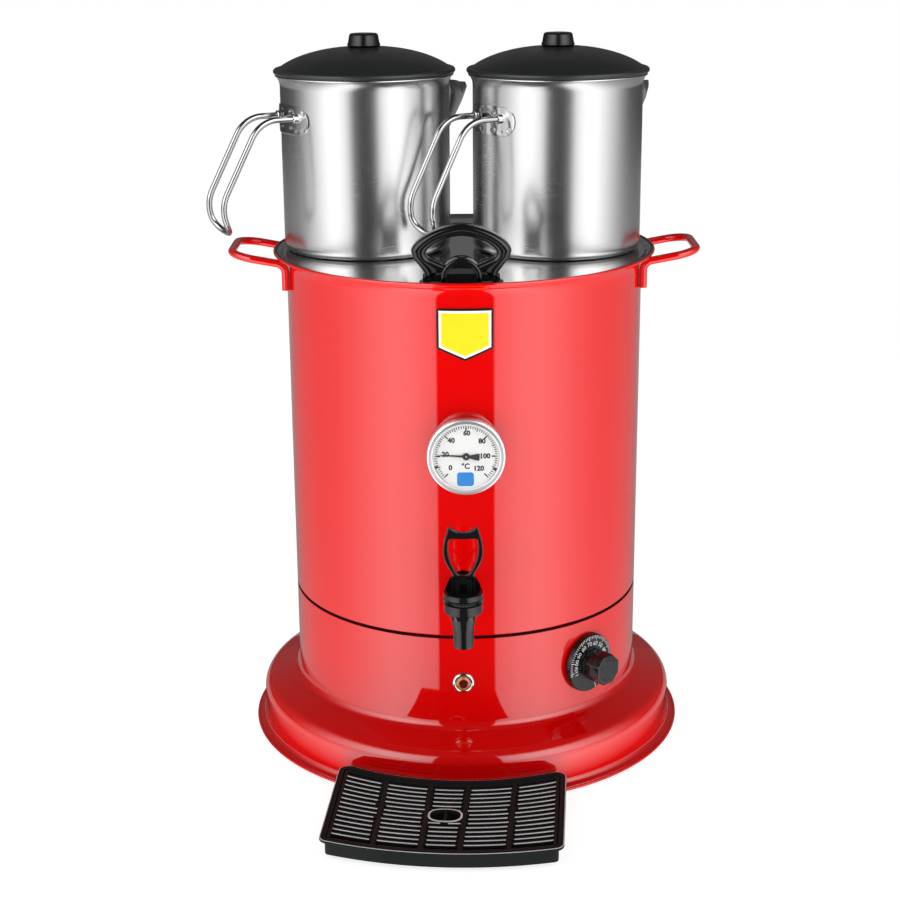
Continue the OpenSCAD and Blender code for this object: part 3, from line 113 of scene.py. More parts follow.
# Stage, in metres, watts and degrees
LAMPS = (("soft_lamp_left", -1.5, 11.5), ("soft_lamp_right", 1.5, 10.5))
LAMP_PLACE, LAMP_AIM_Z = (-1.25, 1.15), 0.28
CAMERA_AT, CAMERA_TILT = (-0.01477, -1.58711, 0.74738), 72.95
CAMERA_LENS, CAMERA_SHIFT = 70.938, 0.00095
CAMERA_ROLL = -0.0082  # in radians

# Levels of the studio that gloss shows, by the turn from straight ahead in degrees, the same on both sides
SURROUND = ((0, 0.02), (17.6, 0.02), (18.9, 1.25), (27, 1.5), (34, 1.75), (48, 1.85), (60, 1.5), (74, 1.0),
            (90, 0.6), (105, 0.42), (130, 0.28), (146, 0.24), (160, 0.3), (180, 0.4))


# ---------------------------------------------------------------- settings


class UrnSizes(bpy.types.PropertyGroup):
    """Sizes of the pieces that are drawn finer than the frame"""

    round_steps: bpy.props.IntProperty(
        name="Steps round", description="Faces round each large turned piece", default=240, min=48
    )
    edge_radius: bpy.props.FloatProperty(
        name="Moulded edge", description="Rounding of the moulded handle's edges", default=0.0042,
        unit="LENGTH"
    )
    digit_height: bpy.props.FloatProperty(
        name="Digit height", description="Height of the thermometer's numbers", default=0.0047, unit="LENGTH"
    )
    rib_width: bpy.props.FloatProperty(
        name="Rib width", description="Width of the grille's cross ribs", default=0.004, unit="LENGTH"
    )
    floor_radius: bpy.props.FloatProperty(
        name="Floor radius", description="Radius of the pale floor", default=4.0, unit="LENGTH"
    )


def colour(name, description, default):
    """A colour that the panel shows."""
    return bpy.props.FloatVectorProperty(
        name=name, description=description, default=default, subtype="COLOR", size=3, min=0, max=1
    )


class UrnColours(bpy.types.PropertyGroup):
    """Colours of the finishes"""

    enamel: colour("Enamel", "Colour of the casing's enamel", (0.64, 0.0005, 0.0005))
    plastic: colour("Black plastic", "Colour of the tap, the knob and the lid handle", (0.006, 0.006, 0.0065))
    pot_lid: colour("Pot lid", "Colour of the pot lids", (0.02, 0.021, 0.022))
    badge_field: colour("Badge field", "Colour of the badge's plain field", (0.92, 0.64, 0.0))
    dial_panel: colour("Dial panel", "Colour of the plain panel on the dial", (0.0, 0.25, 0.74))
    amber: colour("Lamp", "Colour of the pilot lamp's lens", (0.5, 0.15, 0.02))
    steel: colour("Steel", "Colour of the polished steel", (0.66, 0.66, 0.655))


def sizes():
    """The scene's sizes."""
    return bpy.context.scene.urn_sizes


def colours():
    """The scene's colours."""
    return bpy.context.scene.urn_colours


# ---------------------------------------------------------------- surfaces


def unit(v):
    """Each vector divided by its own length."""
    return v / np.linalg.norm(v, axis=-1, keepdims=True)


def arc(x, z, r, start, end, n=8):
    """Points at the radius r from (x, z), at even turns from start to end."""
    t = np.radians(np.linspace(start, end, n + 1))
    return np.stack([x + r * np.cos(t), z + r * np.sin(t)], 1)


def bend(a, b, c, r, n=8):
    """Arc of radius r that touches both sides of the corner b.

    Its middle lies on the bisector, at r over the sine of half the opening. The points turn evenly from
    one touching point to the other, as weighted sums of the two rays from the middle.
    """
    a, b, c = (np.asarray(p, float) for p in (a, b, c))
    u, v = unit(a - b), unit(c - b)
    opening = math.acos(float(np.clip(u @ v, -1, 1)))
    turn = math.pi - opening
    middle = b + unit(u + v) * r / math.sin(opening / 2)
    start = b + u * r / math.tan(opening / 2) - middle
    end = b + v * r / math.tan(opening / 2) - middle
    k = np.linspace(0, 1, n + 1)[:, None]
    return middle + (start * np.sin(turn * (1 - k)) + end * np.sin(turn * k)) / math.sin(turn)


def rounded(corners, n=4):
    """Open line through (x, z, r) corners, each rounded to its own radius."""
    p = [np.array(c[:2], float) for c in corners]
    line = [p[0][None]]
    for k in range(1, len(p) - 1):
        r = corners[k][2]
        line.append(bend(p[k - 1], p[k], p[k + 1], r, n) if r > 0 else p[k][None])
    return np.concatenate([*line, p[-1][None]])


def round_corners(corners, r, n=4):
    """A closed polygon with each corner bent to the radius r."""
    count = len(corners)
    return np.concatenate([bend(corners[k - 1], corners[k], corners[(k + 1) % count], r, n)
                           for k in range(count)])


def round_points(n, start=0.0):
    """Cosine and sine of n even turns of a full circle, from a start in degrees."""
    turn = np.radians(start + np.arange(n) * 360.0 / n)
    return np.stack([np.cos(turn), np.sin(turn)], 1)


def lathe(profile, steps=None):
    """Surface of revolution: each profile point (radius, height) is carried round the local Z axis."""
    r, z = np.asarray(profile, float).T[:, :, None]
    across, ahead = round_points(steps or sizes().round_steps).T
    return np.stack([r * across, r * ahead, z + 0 * across], 2)


def levels(rows):
    """Grid of flat loops (x, y), each at its own height."""
    return np.stack([np.column_stack([loop, np.full(len(loop), float(z))]) for loop, z in rows])


def tube(path, radius, sides=20, seed=(1, 1, 1)):
    """Circles at right angles to a path, turned from one fixed vector, and drawn to a point at both ends."""
    path = np.asarray(path, float)
    path = np.concatenate([path[:1], path, path[-1:]])
    reach = np.full(len(path), float(radius))
    reach[[0, -1]] = 0
    tangent = unit(np.gradient(path[1:-1], axis=0))
    tangent = np.concatenate([tangent[:1], tangent, tangent[-1:]])
    first = unit(np.cross(tangent, np.array(seed, float)))
    second = np.cross(tangent, first)
    a = np.radians(np.arange(sides) * 360 / sides)[None, :, None]
    ring = first[:, None] * np.cos(a) + second[:, None] * np.sin(a)
    return path[:, None] + ring * reach[:, None, None]


def skin(grid, close_rows=False, close_columns=True, finish=0):
    """Quads between neighbouring points of a grid; finish is one index or one for each row of quads."""
    rows, columns = grid.shape[:2]
    i = np.arange(rows if close_rows else rows - 1)[:, None]
    j = np.arange(columns if close_columns else columns - 1)[None, :]
    i2, j2 = (i + 1) % rows, (j + 1) % columns
    faces = np.stack([i * columns + j, i * columns + j2, i2 * columns + j2, i2 * columns + j], 2)
    kinds = np.broadcast_to(np.asarray(finish).reshape(-1, 1), faces.shape[:2])
    return grid.reshape(-1, 3), faces.reshape(-1, 4), kinds.reshape(-1)


def placed(grid, matrix):
    """Grid points carried by a 4 x 4 matrix in millimetres."""
    return grid @ matrix[:3, :3].T + matrix[:3, 3]


def on_wall(turn, x, z, out):
    """Local Z points away from the axis and local Y up, at a turn from the front."""
    spin = Matrix.Rotation(math.radians(turn), 4, "Z")
    return np.array(spin @ Matrix.Translation((x, -out, z)) @ Matrix.Rotation(math.pi / 2, 4, "X"))


def at_pot(side):
    """On a pot's axis at the lid's top face, with its handle along local X."""
    x, y, turn = POT_PLACES[side]
    return np.array(Matrix.Translation((x, y, LID_Z)) @ Matrix.Rotation(math.radians(-90 - turn), 4, "Z"))


def prism(outline, low, high):
    """Plain prism over a flat outline (x, y): its sides and its two ends."""
    n = len(outline)
    points = levels([(outline, low), (outline, high)]).reshape(-1, 3)
    faces = [[k, (k + 1) % n, n + (k + 1) % n, n + k] for k in range(n)]
    faces += [list(range(n)), list(range(n, 2 * n))]
    return points, faces, np.zeros(len(faces), int)


def in_tray():
    """On the urn's axis, turned as the tray is."""
    return np.array(Matrix.Rotation(math.radians(-TRAY_TURN), 4, "Z"))


def at_tap():
    """On the axis of the tap's barrel."""
    return np.array(Matrix.Translation((TAP_X, -TAP_OUT, 0)))


def upright(loop, depth):
    """A flat loop (x, height) stood up in local X and Z, at the local depth -Y."""
    loop = np.asarray(loop, float)
    return np.stack([loop[:, 0], np.full(len(loop), -float(depth)), loop[:, 1]], 1)


def polar_loop(line, centre, n=240):
    """A closed line sampled again at even turns about a point that sees all of it.

    Each ray is cut by the side that it crosses: the distance is the side's cross product with its start,
    over its cross product with the ray.
    """
    rel = np.asarray(line, float) - centre
    turn = np.arctan2(rel[:, 1], rel[:, 0])
    order = np.argsort(turn)
    turn, rel = turn[order], rel[order]
    a = np.arange(n) * 2 * np.pi / n - np.pi
    t = np.concatenate([[turn[-1] - 2 * np.pi], turn, [turn[0] + 2 * np.pi]])
    p = np.concatenate([rel[-1:], rel, rel[:1]])
    k = np.clip(np.searchsorted(t, a, "right") - 1, 0, len(t) - 2)
    ray = np.stack([np.cos(a), np.sin(a)], 1)
    side = p[k + 1] - p[k]
    reach = (p[k, 0] * side[:, 1] - p[k, 1] * side[:, 0]) / (ray[:, 0] * side[:, 1] - ray[:, 1] * side[:, 0])
    return centre + ray * reach[:, None]


def smooth_line(line, rounds=3):
    """Cuts every corner of a closed line at a quarter of each side, again and again."""
    line = np.asarray(line, float)
    for _ in range(rounds):
        after = np.roll(line, -1, 0)
        line = np.stack([0.75 * line + 0.25 * after, 0.25 * line + 0.75 * after], 1).reshape(-1, 2)
    return line


def inset_loop(loop, d):
    """Moves each point of a closed loop inwards along its own normal."""
    tangent = unit(np.roll(loop, -1, 0) - np.roll(loop, 1, 0))
    normal = np.stack([tangent[:, 1], -tangent[:, 0]], 1)
    inwards = np.sign(np.sum(normal * (loop.mean(0) - loop)))
    return loop + normal * inwards * d


def hoop(outer, inner, half_depth, edge, grooves=(), sink=0.9, n=5):
    """Ring-shaped plate: its section is a rounded block carried between an outer and an inner loop.

    A groove runs at a share of the way from the outer to the inner loop, and sinks at even steps.
    """
    def side(loop, way, t):
        """One row of a rounded side, at the turn t from -90 to 90 degrees."""
        depth = (half_depth - edge) * np.sign(t) + edge * math.sin(t)
        return upright(inset_loop(loop, way * edge * (1 - math.cos(t))), depth)

    turns = np.radians(np.linspace(-90, 90, 2 * n + 1))
    face_out, face_in = inset_loop(outer, edge), inset_loop(inner, -edge)
    face = [(g + s * 0.035, sink * (1 - abs(s))) for g in grooves for s in (-1, -0.4, 0.4, 1)]
    rows = [side(outer, 1, t) for t in turns]
    rows += [upright(face_out * (1 - g) + face_in * g, half_depth - low) for g, low in face]
    rows += [side(inner, -1, t) for t in turns[::-1]]
    rows += [upright(face_out * (1 - g) + face_in * g, low - half_depth) for g, low in face[::-1]]
    return np.stack(rows)


def slab(line, centre, rows, n=160):
    """Solid plate: loops set in from one outline at given depths, drawn to a point on both faces."""
    loop = polar_loop(line, centre, n)
    middle = np.repeat(np.array([centre], float), n, 0)
    stack = [upright(middle, rows[0][1])]
    stack += [upright(inset_loop(loop, e) if e else loop, d) for e, d in rows]
    stack += [upright(middle, rows[-1][1])]
    return np.stack(stack)


def marks(turns, inner, outer, width, low, high):
    """Thin blocks along rays from the local Z axis, each from its inner to its outer radius."""
    a, r0, r1, w = np.broadcast_arrays(*(np.asarray(v, float) for v in (turns, inner, outer, width)))
    a = np.radians(a.ravel())
    radial, side = np.stack([np.sin(a), np.cos(a)], 1), np.stack([np.cos(a), -np.sin(a)], 1)
    ends = np.stack([r0.ravel(), r1.ravel(), r1.ravel(), r0.ravel()], 1)
    sway = np.stack([-w.ravel(), -w.ravel(), w.ravel(), w.ravel()], 1) / 2
    flat = radial[:, None] * ends[..., None] + side[:, None] * sway[..., None]
    points = np.concatenate([np.dstack([flat, np.full(flat.shape[:2], low)]),
                             np.dstack([flat, np.full(flat.shape[:2], high)])], 1)
    block = np.array([[0, 1, 2, 3], [7, 6, 5, 4], [0, 4, 5, 1], [1, 5, 6, 2], [2, 6, 7, 3], [3, 7, 4, 0]])
    faces = (np.arange(len(a)) * 8)[:, None, None] + block
    return points.reshape(-1, 3), faces.reshape(-1, 4), np.zeros(len(a) * 6, int)


def digits(text, height, thickness=0.06, weight=0.0):
    """Shapes of the built-in font as thin plates, centred on the local axis and as tall as asked."""
    curve = bpy.data.curves.new("digits", "FONT")
    curve.body, curve.align_x, curve.align_y = text, "CENTER", "CENTER"
    curve.extrude, curve.offset, curve.resolution_u = 0.5, weight, 3
    holder = bpy.data.objects.new("digits", curve)
    bpy.context.scene.collection.objects.link(holder)
    bpy.context.view_layer.update()
    mesh = bpy.data.meshes.new_from_object(holder)
    drawn = np.empty(len(mesh.vertices) * 3)
    mesh.vertices.foreach_get("co", drawn)
    drawn = drawn.reshape(-1, 3)
    faces = [list(p.vertices) for p in mesh.polygons]
    low, high = drawn.min(0), drawn.max(0)
    points = (drawn - (low + high) / 2) * (height / (high[1] - low[1]))
    points[:, 2] = drawn[:, 2] * thickness
    bpy.data.objects.remove(holder)
    bpy.data.curves.remove(curve)
    bpy.data.meshes.remove(mesh)
    return points, faces, np.zeros(len(faces), int)


def moved(part, x=0.0, y=0.0, z=0.0, turn=0.0):
    """A part turned about local Z and shifted."""
    points, faces, kind = part
    c, s = math.cos(math.radians(turn)), math.sin(math.radians(turn))
    spin = np.array([[c, -s, 0], [s, c, 0], [0, 0, 1]])
    return points @ spin.T + [x, y, z], faces, kind


def carried(part, matrix, finish=None):
    """A part carried by a matrix, with one finish for all of it where that is given."""
    points, faces, kind = part
    return placed(points, matrix), faces, kind if finish is None else np.full(len(faces), finish)


def mesh_from(name, parts):
    """One mesh from parts in millimetres, with doubles merged and normals turned outwards."""
    points, faces, kinds, count = [], [], [], 0
    for part_points, part_faces, part_kinds in parts:
        points.append(part_points)
        if isinstance(part_faces, np.ndarray):
            faces += (part_faces + count).tolist()
        else:
            faces += [[k + count for k in face] for face in part_faces]
        kinds.append(part_kinds)
        count += len(part_points)
    mesh = bpy.data.meshes.new(name)
    mesh.from_pydata((np.concatenate(points) * MM).tolist(), [], faces)
    mesh.polygons.foreach_set("material_index", np.concatenate(kinds).astype(np.int32))
    work = bmesh.new()
    work.from_mesh(mesh)
    bmesh.ops.remove_doubles(work, verts=work.verts, dist=0.003 * MM)
    bmesh.ops.recalc_face_normals(work, faces=work.faces)
    work.to_mesh(mesh)
    work.free()
    return mesh


def turned(profile, place, steps=96, ring=False, finish=0):
    """A profile carried round a place's axis; a ring is a closed section that stays off the axis."""
    return carried(skin(lathe(profile, steps), ring, finish=finish), place)


def new_piece(name, body, slot, parts, replaces=(), coats=None, crease=32, cutters=()):
    """Puts parts into one object that rides on a body; each cutter's parts are taken out of it in turn.

    Its finishes are named in the order of their indices, or it has its slot's alone.
    """
    mesh = mesh_from(name, parts)
    piece = bpy.data.objects.new(name, mesh)
    bpy.context.scene.collection.objects.link(piece)
    for cutter in cutters:
        knife = bpy.data.objects.new("knife", mesh_from("knife", cutter))
        bpy.context.scene.collection.objects.link(knife)
        cut = piece.modifiers.new("cut", "BOOLEAN")
        cut.object, cut.operation, cut.solver = knife, "DIFFERENCE", "EXACT"
        bpy.context.view_layer.update()
        graph = bpy.context.evaluated_depsgraph_get()
        result = bpy.data.meshes.new_from_object(piece.evaluated_get(graph))
        result.materials.clear()
        piece.modifiers.clear()
        piece.data = result
        bpy.data.objects.remove(knife)
        bpy.data.meshes.remove(mesh)
        result.name = name
        mesh = result
    for coat in (coats or slot).split():
        mesh.materials.append(finishes[coat])
    mesh.shade_smooth()
    mesh.set_sharp_from_angle(angle=math.radians(crease))
    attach(piece, body)
    if replaces:
        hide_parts(*replaces)
    return piece


# ---------------------------------------------------------------- finishes


# Every finish by its name, and the two nodes whose finish isn't their slot's
finishes = {}
FINISH_OF_NODE = {"tap_stem": "blackened_steel", "tap_lever_pin": "blackened_steel"}


def feed(tree, made, inputs):
    """Links each input that is given as a socket, and sets any other."""
    for key, value in inputs.items():
        if isinstance(value, bpy.types.NodeSocket):
            tree.links.new(value, made.inputs[key])
        else:
            made.inputs[key].default_value = value
    return made


def add(tree, kind, inputs=None, **settings):
    """One shader node with its settings and its inputs."""
    made = tree.nodes.new(kind)
    for key, value in settings.items():
        setattr(made, key, value)
    return feed(tree, made, inputs or {})


def math_node(tree, operation, *values):
    """An operation on values, in their order."""
    return add(tree, "ShaderNodeMath", dict(enumerate(values)), operation=operation).outputs[0]


def remap(tree, value, low, high, start=0.0, end=1.0):
    """Carries a value from low to high over to start to end, and holds it at both ends."""
    return add(tree, "ShaderNodeMapRange", {"Value": value, "From Min": low, "From Max": high,
                                            "To Min": start, "To Max": end}).outputs[0]


def noise(tree, vector, scale, detail=2.0, rough=0.5, twist=0.0):
    """Soft random levels between 0 and 1."""
    return add(tree, "ShaderNodeTexNoise", {"Vector": vector, "Scale": scale, "Detail": detail,
                                            "Roughness": rough, "Distortion": twist}).outputs["Fac"]


def mix_colour(tree, share, first, second):
    """The first colour at a share of 0, the second at 1."""
    made = add(tree, "ShaderNodeMix", data_type="RGBA")
    for key, value in (("Factor_Float", share), ("A_Color", first), ("B_Color", second)):
        socket = next(s for s in made.inputs if s.identifier == key)
        if isinstance(value, bpy.types.NodeSocket):
            tree.links.new(value, socket)
        else:
            socket.default_value = value if key == "Factor_Float" else (*value, 1)[:4]
    return next(s for s in made.outputs if s.identifier == "Result_Color")


def group(name, inputs, outputs):
    """A new node group with its sockets, and its input and output nodes."""
    tree = bpy.data.node_groups.new(name, "ShaderNodeTree")
    for label, kind, default in inputs:
        socket = tree.interface.new_socket(label, in_out="INPUT", socket_type=kind)
        if default is not None:
            socket.default_value = default
    for label, kind in outputs:
        tree.interface.new_socket(label, in_out="OUTPUT", socket_type=kind)
    return tree, tree.nodes.new("NodeGroupInput"), tree.nodes.new("NodeGroupOutput")


def make_groups():
    """Surface effects that several finishes share."""
    vector, number = "NodeSocketVector", "NodeSocketFloat"
    spot = ("Vector", vector, None)

    tree, given, out = group("Surface relief", [spot, ("Scale", number, 200.0), ("Detail", number, 3.0)],
                             [("Height", number), ("Patches", number)])
    place, scale = given.outputs["Vector"], given.outputs["Scale"]
    fine = noise(tree, place, scale, given.outputs["Detail"], 0.55)
    broad = noise(tree, place, math_node(tree, "MULTIPLY", scale, 0.06), 4.0)
    feed(tree, out, {"Height": fine, "Patches": broad})

    tree, given, out = group("Brushed lines", [spot, ("Stretch", vector, (8, 8, 900))],
                             [("Lines", number), ("Streaks", number)])
    drawn = add(tree, "ShaderNodeVectorMath", {0: given.outputs["Vector"], 1: given.outputs["Stretch"]},
                operation="MULTIPLY").outputs[0]
    feed(tree, out, {"Lines": noise(tree, drawn, 2.0, 6.0, 0.7), "Streaks": noise(tree, drawn, 1.1)})

    tree, given, out = group("Handling wear", [spot, ("Scale", number, 30.0), ("Amount", number, 0.3)],
                             [("Scratches", number), ("Smudges", number)])
    place, scale, amount = (given.outputs[key] for key in ("Vector", "Scale", "Amount"))
    warp = noise(tree, place, scale, twist=1.5)
    ridge = math_node(tree, "ABSOLUTE", math_node(tree, "SUBTRACT", warp, 0.5))
    rare = noise(tree, place, math_node(tree, "MULTIPLY", scale, 0.5))
    scratch = math_node(tree, "MULTIPLY", remap(tree, ridge, 0.0, 0.006, 1.0, 0.0),
                        remap(tree, rare, 0.55, 0.65))
    feed(tree, out, {"Scratches": math_node(tree, "MULTIPLY", scratch, amount),
                     "Smudges": math_node(tree, "MULTIPLY", remap(tree, rare, 0.4, 0.75), amount)})

    tree, given, out = group("Studio surround", [spot], [("Color", "NodeSocketColor")])
    part = add(tree, "ShaderNodeSeparateXYZ", {0: given.outputs["Vector"]})
    away = math_node(tree, "MULTIPLY", part.outputs["Y"], -1.0)
    azimuth = math_node(tree, "ABSOLUTE", math_node(tree, "ARCTAN2", part.outputs["X"], away))
    ramp = add(tree, "ShaderNodeValToRGB", {"Fac": math_node(tree, "DIVIDE", azimuth, math.pi)})
    peak = max(level for _, level in SURROUND)
    elements = ramp.color_ramp.elements
    for _ in SURROUND[2:]:
        elements.new(0.5)
    for element, (turn, level) in zip(elements, SURROUND):
        element.position = turn / 180
        element.color = (level / peak,) * 3 + (1,)
    scaled = add(tree, "ShaderNodeVectorMath", {0: ramp.outputs["Color"], 1: (peak, peak, peak)},
                 operation="MULTIPLY")
    feed(tree, out, {"Color": scaled.outputs[0]})


def use_group(tree, name, **inputs):
    """Places a shared effect with its own values, and gives its outputs."""
    made = tree.nodes.new("ShaderNodeGroup")
    made.node_tree = bpy.data.node_groups[name]
    return feed(tree, made, inputs).outputs


def finish(name, shade, rough, *, metal=0.0, relief=200.0, bump=0.02, distance=0.0002, patches=0.08,
           wear=0.2, wear_scale=30.0, brushed=None, brush_depth=0.0, centre=(0, 0, 0), **sockets):
    """A solid finish: its colour and roughness shift in patches or brushed lines, over a fine relief.

    Smudges and scratches add to its roughness. Any further socket of the shader is set by its name.
    """
    made = bpy.data.materials.new(name)
    made.use_nodes = True
    tree = made.node_tree
    place = add(tree, "ShaderNodeTexCoord").outputs["Object"]
    shift = tuple(-c * MM for c in centre)
    place = add(tree, "ShaderNodeMapping", {"Vector": place, "Location": shift}).outputs[0]
    surface = use_group(tree, "Surface relief", Vector=place, Scale=relief)
    handled = use_group(tree, "Handling wear", Vector=place, Scale=wear_scale, Amount=wear)
    shade = tuple(shade)
    if brushed:
        lines = use_group(tree, "Brushed lines", Vector=place, Stretch=brushed)
        dark, pale = (tuple(min(1, c * k) for c in shade) for k in (0.92, 1.06))
        tone = mix_colour(tree, lines["Lines"], dark, pale)
        height = math_node(tree, "ADD", math_node(tree, "MULTIPLY", lines["Lines"], brush_depth),
                           math_node(tree, "MULTIPLY", surface["Height"], 0.1))
        varied, spread = lines["Streaks"], 0.08
    else:
        tone = mix_colour(tree, surface["Patches"], tuple(c * (1 - patches) for c in shade), shade)
        height, varied, spread = surface["Height"], surface["Patches"], 0.15
    roughness = remap(tree, varied, 0.3, 0.7, rough * (1 - spread), rough * (1 + spread))
    for effect, share in (("Smudges", 0.12), ("Scratches", 0.2)):
        roughness = math_node(tree, "MULTIPLY_ADD", handled[effect], share, roughness)
    raised = add(tree, "ShaderNodeBump", {"Height": height, "Strength": bump, "Distance": distance})
    feed(tree, tree.nodes["Principled BSDF"], {
        "Base Color": tone, "Roughness": roughness, "Normal": raised.outputs[0], "Metallic": metal,
        **{key.replace("_", " "): value for key, value in sockets.items()}})
    finishes[name] = made


def glass(name):
    """Clear pane: plain transmission, and light passes it without a shadow."""
    made = bpy.data.materials.new(name)
    made.use_nodes = True
    tree = made.node_tree
    place = add(tree, "ShaderNodeTexCoord").outputs["Object"]
    patches = use_group(tree, "Surface relief", Vector=place, Scale=60.0)["Patches"]
    shadow = add(tree, "ShaderNodeLightPath").outputs["Is Shadow Ray"]
    feed(tree, tree.nodes["Principled BSDF"], {
        "Transmission Weight": 1, "Roughness": 0.0, "IOR": 1.45,
        "Base Color": mix_colour(tree, patches, (0.985, 0.985, 0.985), (1, 1, 1)),
        "Alpha": math_node(tree, "SUBTRACT", 1.0, shadow)})
    finishes[name] = made


def make_finishes():
    """Makes every finish."""
    c = colours()
    finish("red_enamel", c.enamel, 0.04, relief=260, bump=0.035, patches=0.05, wear=0.12, wear_scale=14,
           Coat_Weight=1.0, Coat_Roughness=0.03)
    # Near-black finish that paints shade on the inside of the rim
    finish("dark_ground_coat", (0.012, 0.011, 0.011), 0.12, relief=300, bump=0.06)
    # Near-black finish that paints shade in the seam gap
    finish("seam_enamel", (0.03, 0.001, 0.001), 0.8, relief=300, bump=0.06, Specular_IOR_Level=0.05)
    finish("blackened_steel", (0.03, 0.03, 0.03), 0.3, metal=1, relief=400, patches=0.2)
    finish("black_plastic", c.plastic, 0.1, relief=500, bump=0.05, wear_scale=60)
    finish("satin_plastic", c.plastic, 0.24, relief=900, bump=0.12, wear=0.3, wear_scale=70)
    finish("moulded_grip", c.plastic, 0.07, relief=300, bump=0.2, wear=0.3, wear_scale=45)
    finish("moulded_panel", (0.03, 0.03, 0.03), 0.3, relief=900, bump=0.2, wear=0.3, wear_scale=45)
    finish("tray_plastic", (0.014, 0.015, 0.015), 0.4, relief=700, bump=0.15, wear=0.3,
           Specular_IOR_Level=0.03)
    # Pale finish that paints highlights on the tray's bead, the bars' front edges and the finger hole's rim
    finish("worn_plastic", (0.78, 0.8, 0.8), 0.35, relief=900, bump=0.1, patches=0.5, wear=0.4)
    finish("lid_black", c.pot_lid, 0.3, relief=1500, bump=0.2, wear_scale=25)
    finish("polished_steel", c.steel, 0.12, metal=1, relief=300, bump=0.03, wear=0.3, wear_scale=25)
    finish("chrome_trim", (0.72, 0.72, 0.72), 0.07, metal=1, relief=300, patches=0.02, wear=0.15)
    finish("rod_steel", (0.5, 0.5, 0.5), 0.1, metal=1, relief=300, wear=0.15)
    finish("tank_steel", (0.6, 0.6, 0.595), 0.25, metal=1, brushed=(6, 6, 500), brush_depth=0.6, bump=0.15)
    finish("sheet_steel", (0.5, 0.51, 0.52), 0.38, metal=1, relief=120, patches=0.3, wear=0.4)
    finish("zinc_steel", (0.62, 0.62, 0.6), 0.32, metal=1, relief=300, patches=0.15)
    finish("spring_steel", (0.55, 0.55, 0.54), 0.25, metal=1, relief=400)
    finish("brass", (0.72, 0.5, 0.2), 0.25, metal=1, relief=300, patches=0.12)
    finish("copper", (0.8, 0.42, 0.28), 0.28, metal=1, relief=250, patches=0.15)
    finish("heater_steel", (0.22, 0.21, 0.2), 0.45, metal=1, relief=150, patches=0.3, wear=0.5)
    finish("rubber", (0.02, 0.02, 0.02), 0.7, relief=600, bump=0.3, distance=0.0004)
    finish("silicone", (0.5, 0.16, 0.1), 0.5, relief=500, bump=0.15)
    finish("glass_wool", (0.75, 0.66, 0.36), 0.95, relief=700, bump=1.0, distance=0.004, patches=0.35)
    finish("white_plastic", (0.72, 0.71, 0.67), 0.4, relief=500, bump=0.1)
    finish("cutout_plastic", (0.03, 0.028, 0.026), 0.45, relief=500, bump=0.12)
    finish("wire_insulation", (0.35, 0.03, 0.03), 0.5, relief=600, bump=0.1)
    finish("gauge_bezel", (0.88, 0.88, 0.88), 0.36, metal=1, patches=0.03)
    finish("gauge_face", (0.93, 0.93, 0.92), 0.55, relief=400, patches=0.02, wear=0.05)
    finish("dial_ink", (0.004, 0.004, 0.004), 0.6, relief=400)
    finish("gauge_needle", (0.01, 0.01, 0.01), 0.35, relief=300)
    finish("dial_panel", c.dial_panel, 0.5, relief=400)
    finish("white_ink", (0.72, 0.72, 0.72), 0.5, relief=500, wear=0.4)
    finish("badge_print", c.badge_field, 0.2, relief=300, patches=0.04, wear=0.1)
    finish("badge_border", (0.008, 0.008, 0.008), 0.2, relief=300)
    finish("badge_line", (0.8, 0.8, 0.78), 0.25, relief=300)
    finish("amber_lens", c.amber, 0.06, patches=0.25, wear=0.1, Coat_Weight=1.0)
    finish("lamp_core", (0.13, 0.008, 0.005), 0.08, relief=900, bump=0.05, patches=0.6, Coat_Weight=1.0)
    glass("gauge_glass")
    for side, (x, y, _) in POT_PLACES.items():
        finish(f"pot_steel_{side}", (0.6, 0.6, 0.6), 0.25, metal=1, brushed=(36, 36, 1300), brush_depth=1.0,
               bump=0.035, distance=0.0001, centre=(x, y, 0), wear=0.08)


# ---------------------------------------------------------------- casing


def bead(x, z, r, along, sheet_t):
    """Rolled edge: a circle that starts and ends where it meets a sheet of the given thickness."""
    meet = 180 - math.degrees(math.asin(sheet_t / 2 / r))
    return arc(x, z, r, along - meet, along + meet, 20)


def foot_profile():
    """Section of the lower casing and the foot: outside from the seam down, round the bead, inside up."""
    def line(e):
        """The outside's curves, moved in by e."""
        return np.concatenate([
            arc(BODY_R + COVE_R, FOOT_TOP_Z, COVE_R + e, 180, 180 + COVE_TURN, 12),
            arc(FOOT_R - SHOULDER_R, SHOULDER_Z - SHOULDER_R, SHOULDER_R - e, SLOPE_TURN, 0, 18),
            arc(FOOT_R + FLANGE_COVE_R, FLANGE_Z + FLANGE_COVE_R, FLANGE_COVE_R + e, 180, 270, 10)])

    lip = SEAM_Z - SEAM_GAP / 2
    top = rounded([(NECK_R, NECK_Z, 0), (NECK_R, lip - 0.6, 0.3), (BODY_R - 0.5, lip - 0.8, 0.5),
                   (BODY_R, lip - 2.4, 2.5), (BODY_R, 120, 0)], 6)
    under = rounded([(NECK_R - SKIRT_T, NECK_Z, 0), (NECK_R - SKIRT_T, lip - 2, 0.2),
                     (BODY_R - SKIRT_T, lip - 2, 0.2), (BODY_R - SKIRT_T, 120, 0)], 2)
    edge = bead(FLANGE_R, FLANGE_Z - FLANGE_BEAD_R, FLANGE_BEAD_R, 0, SKIRT_T)[::-1]
    return np.concatenate([top, line(0), edge, line(SKIRT_T)[::-1], under[::-1]])


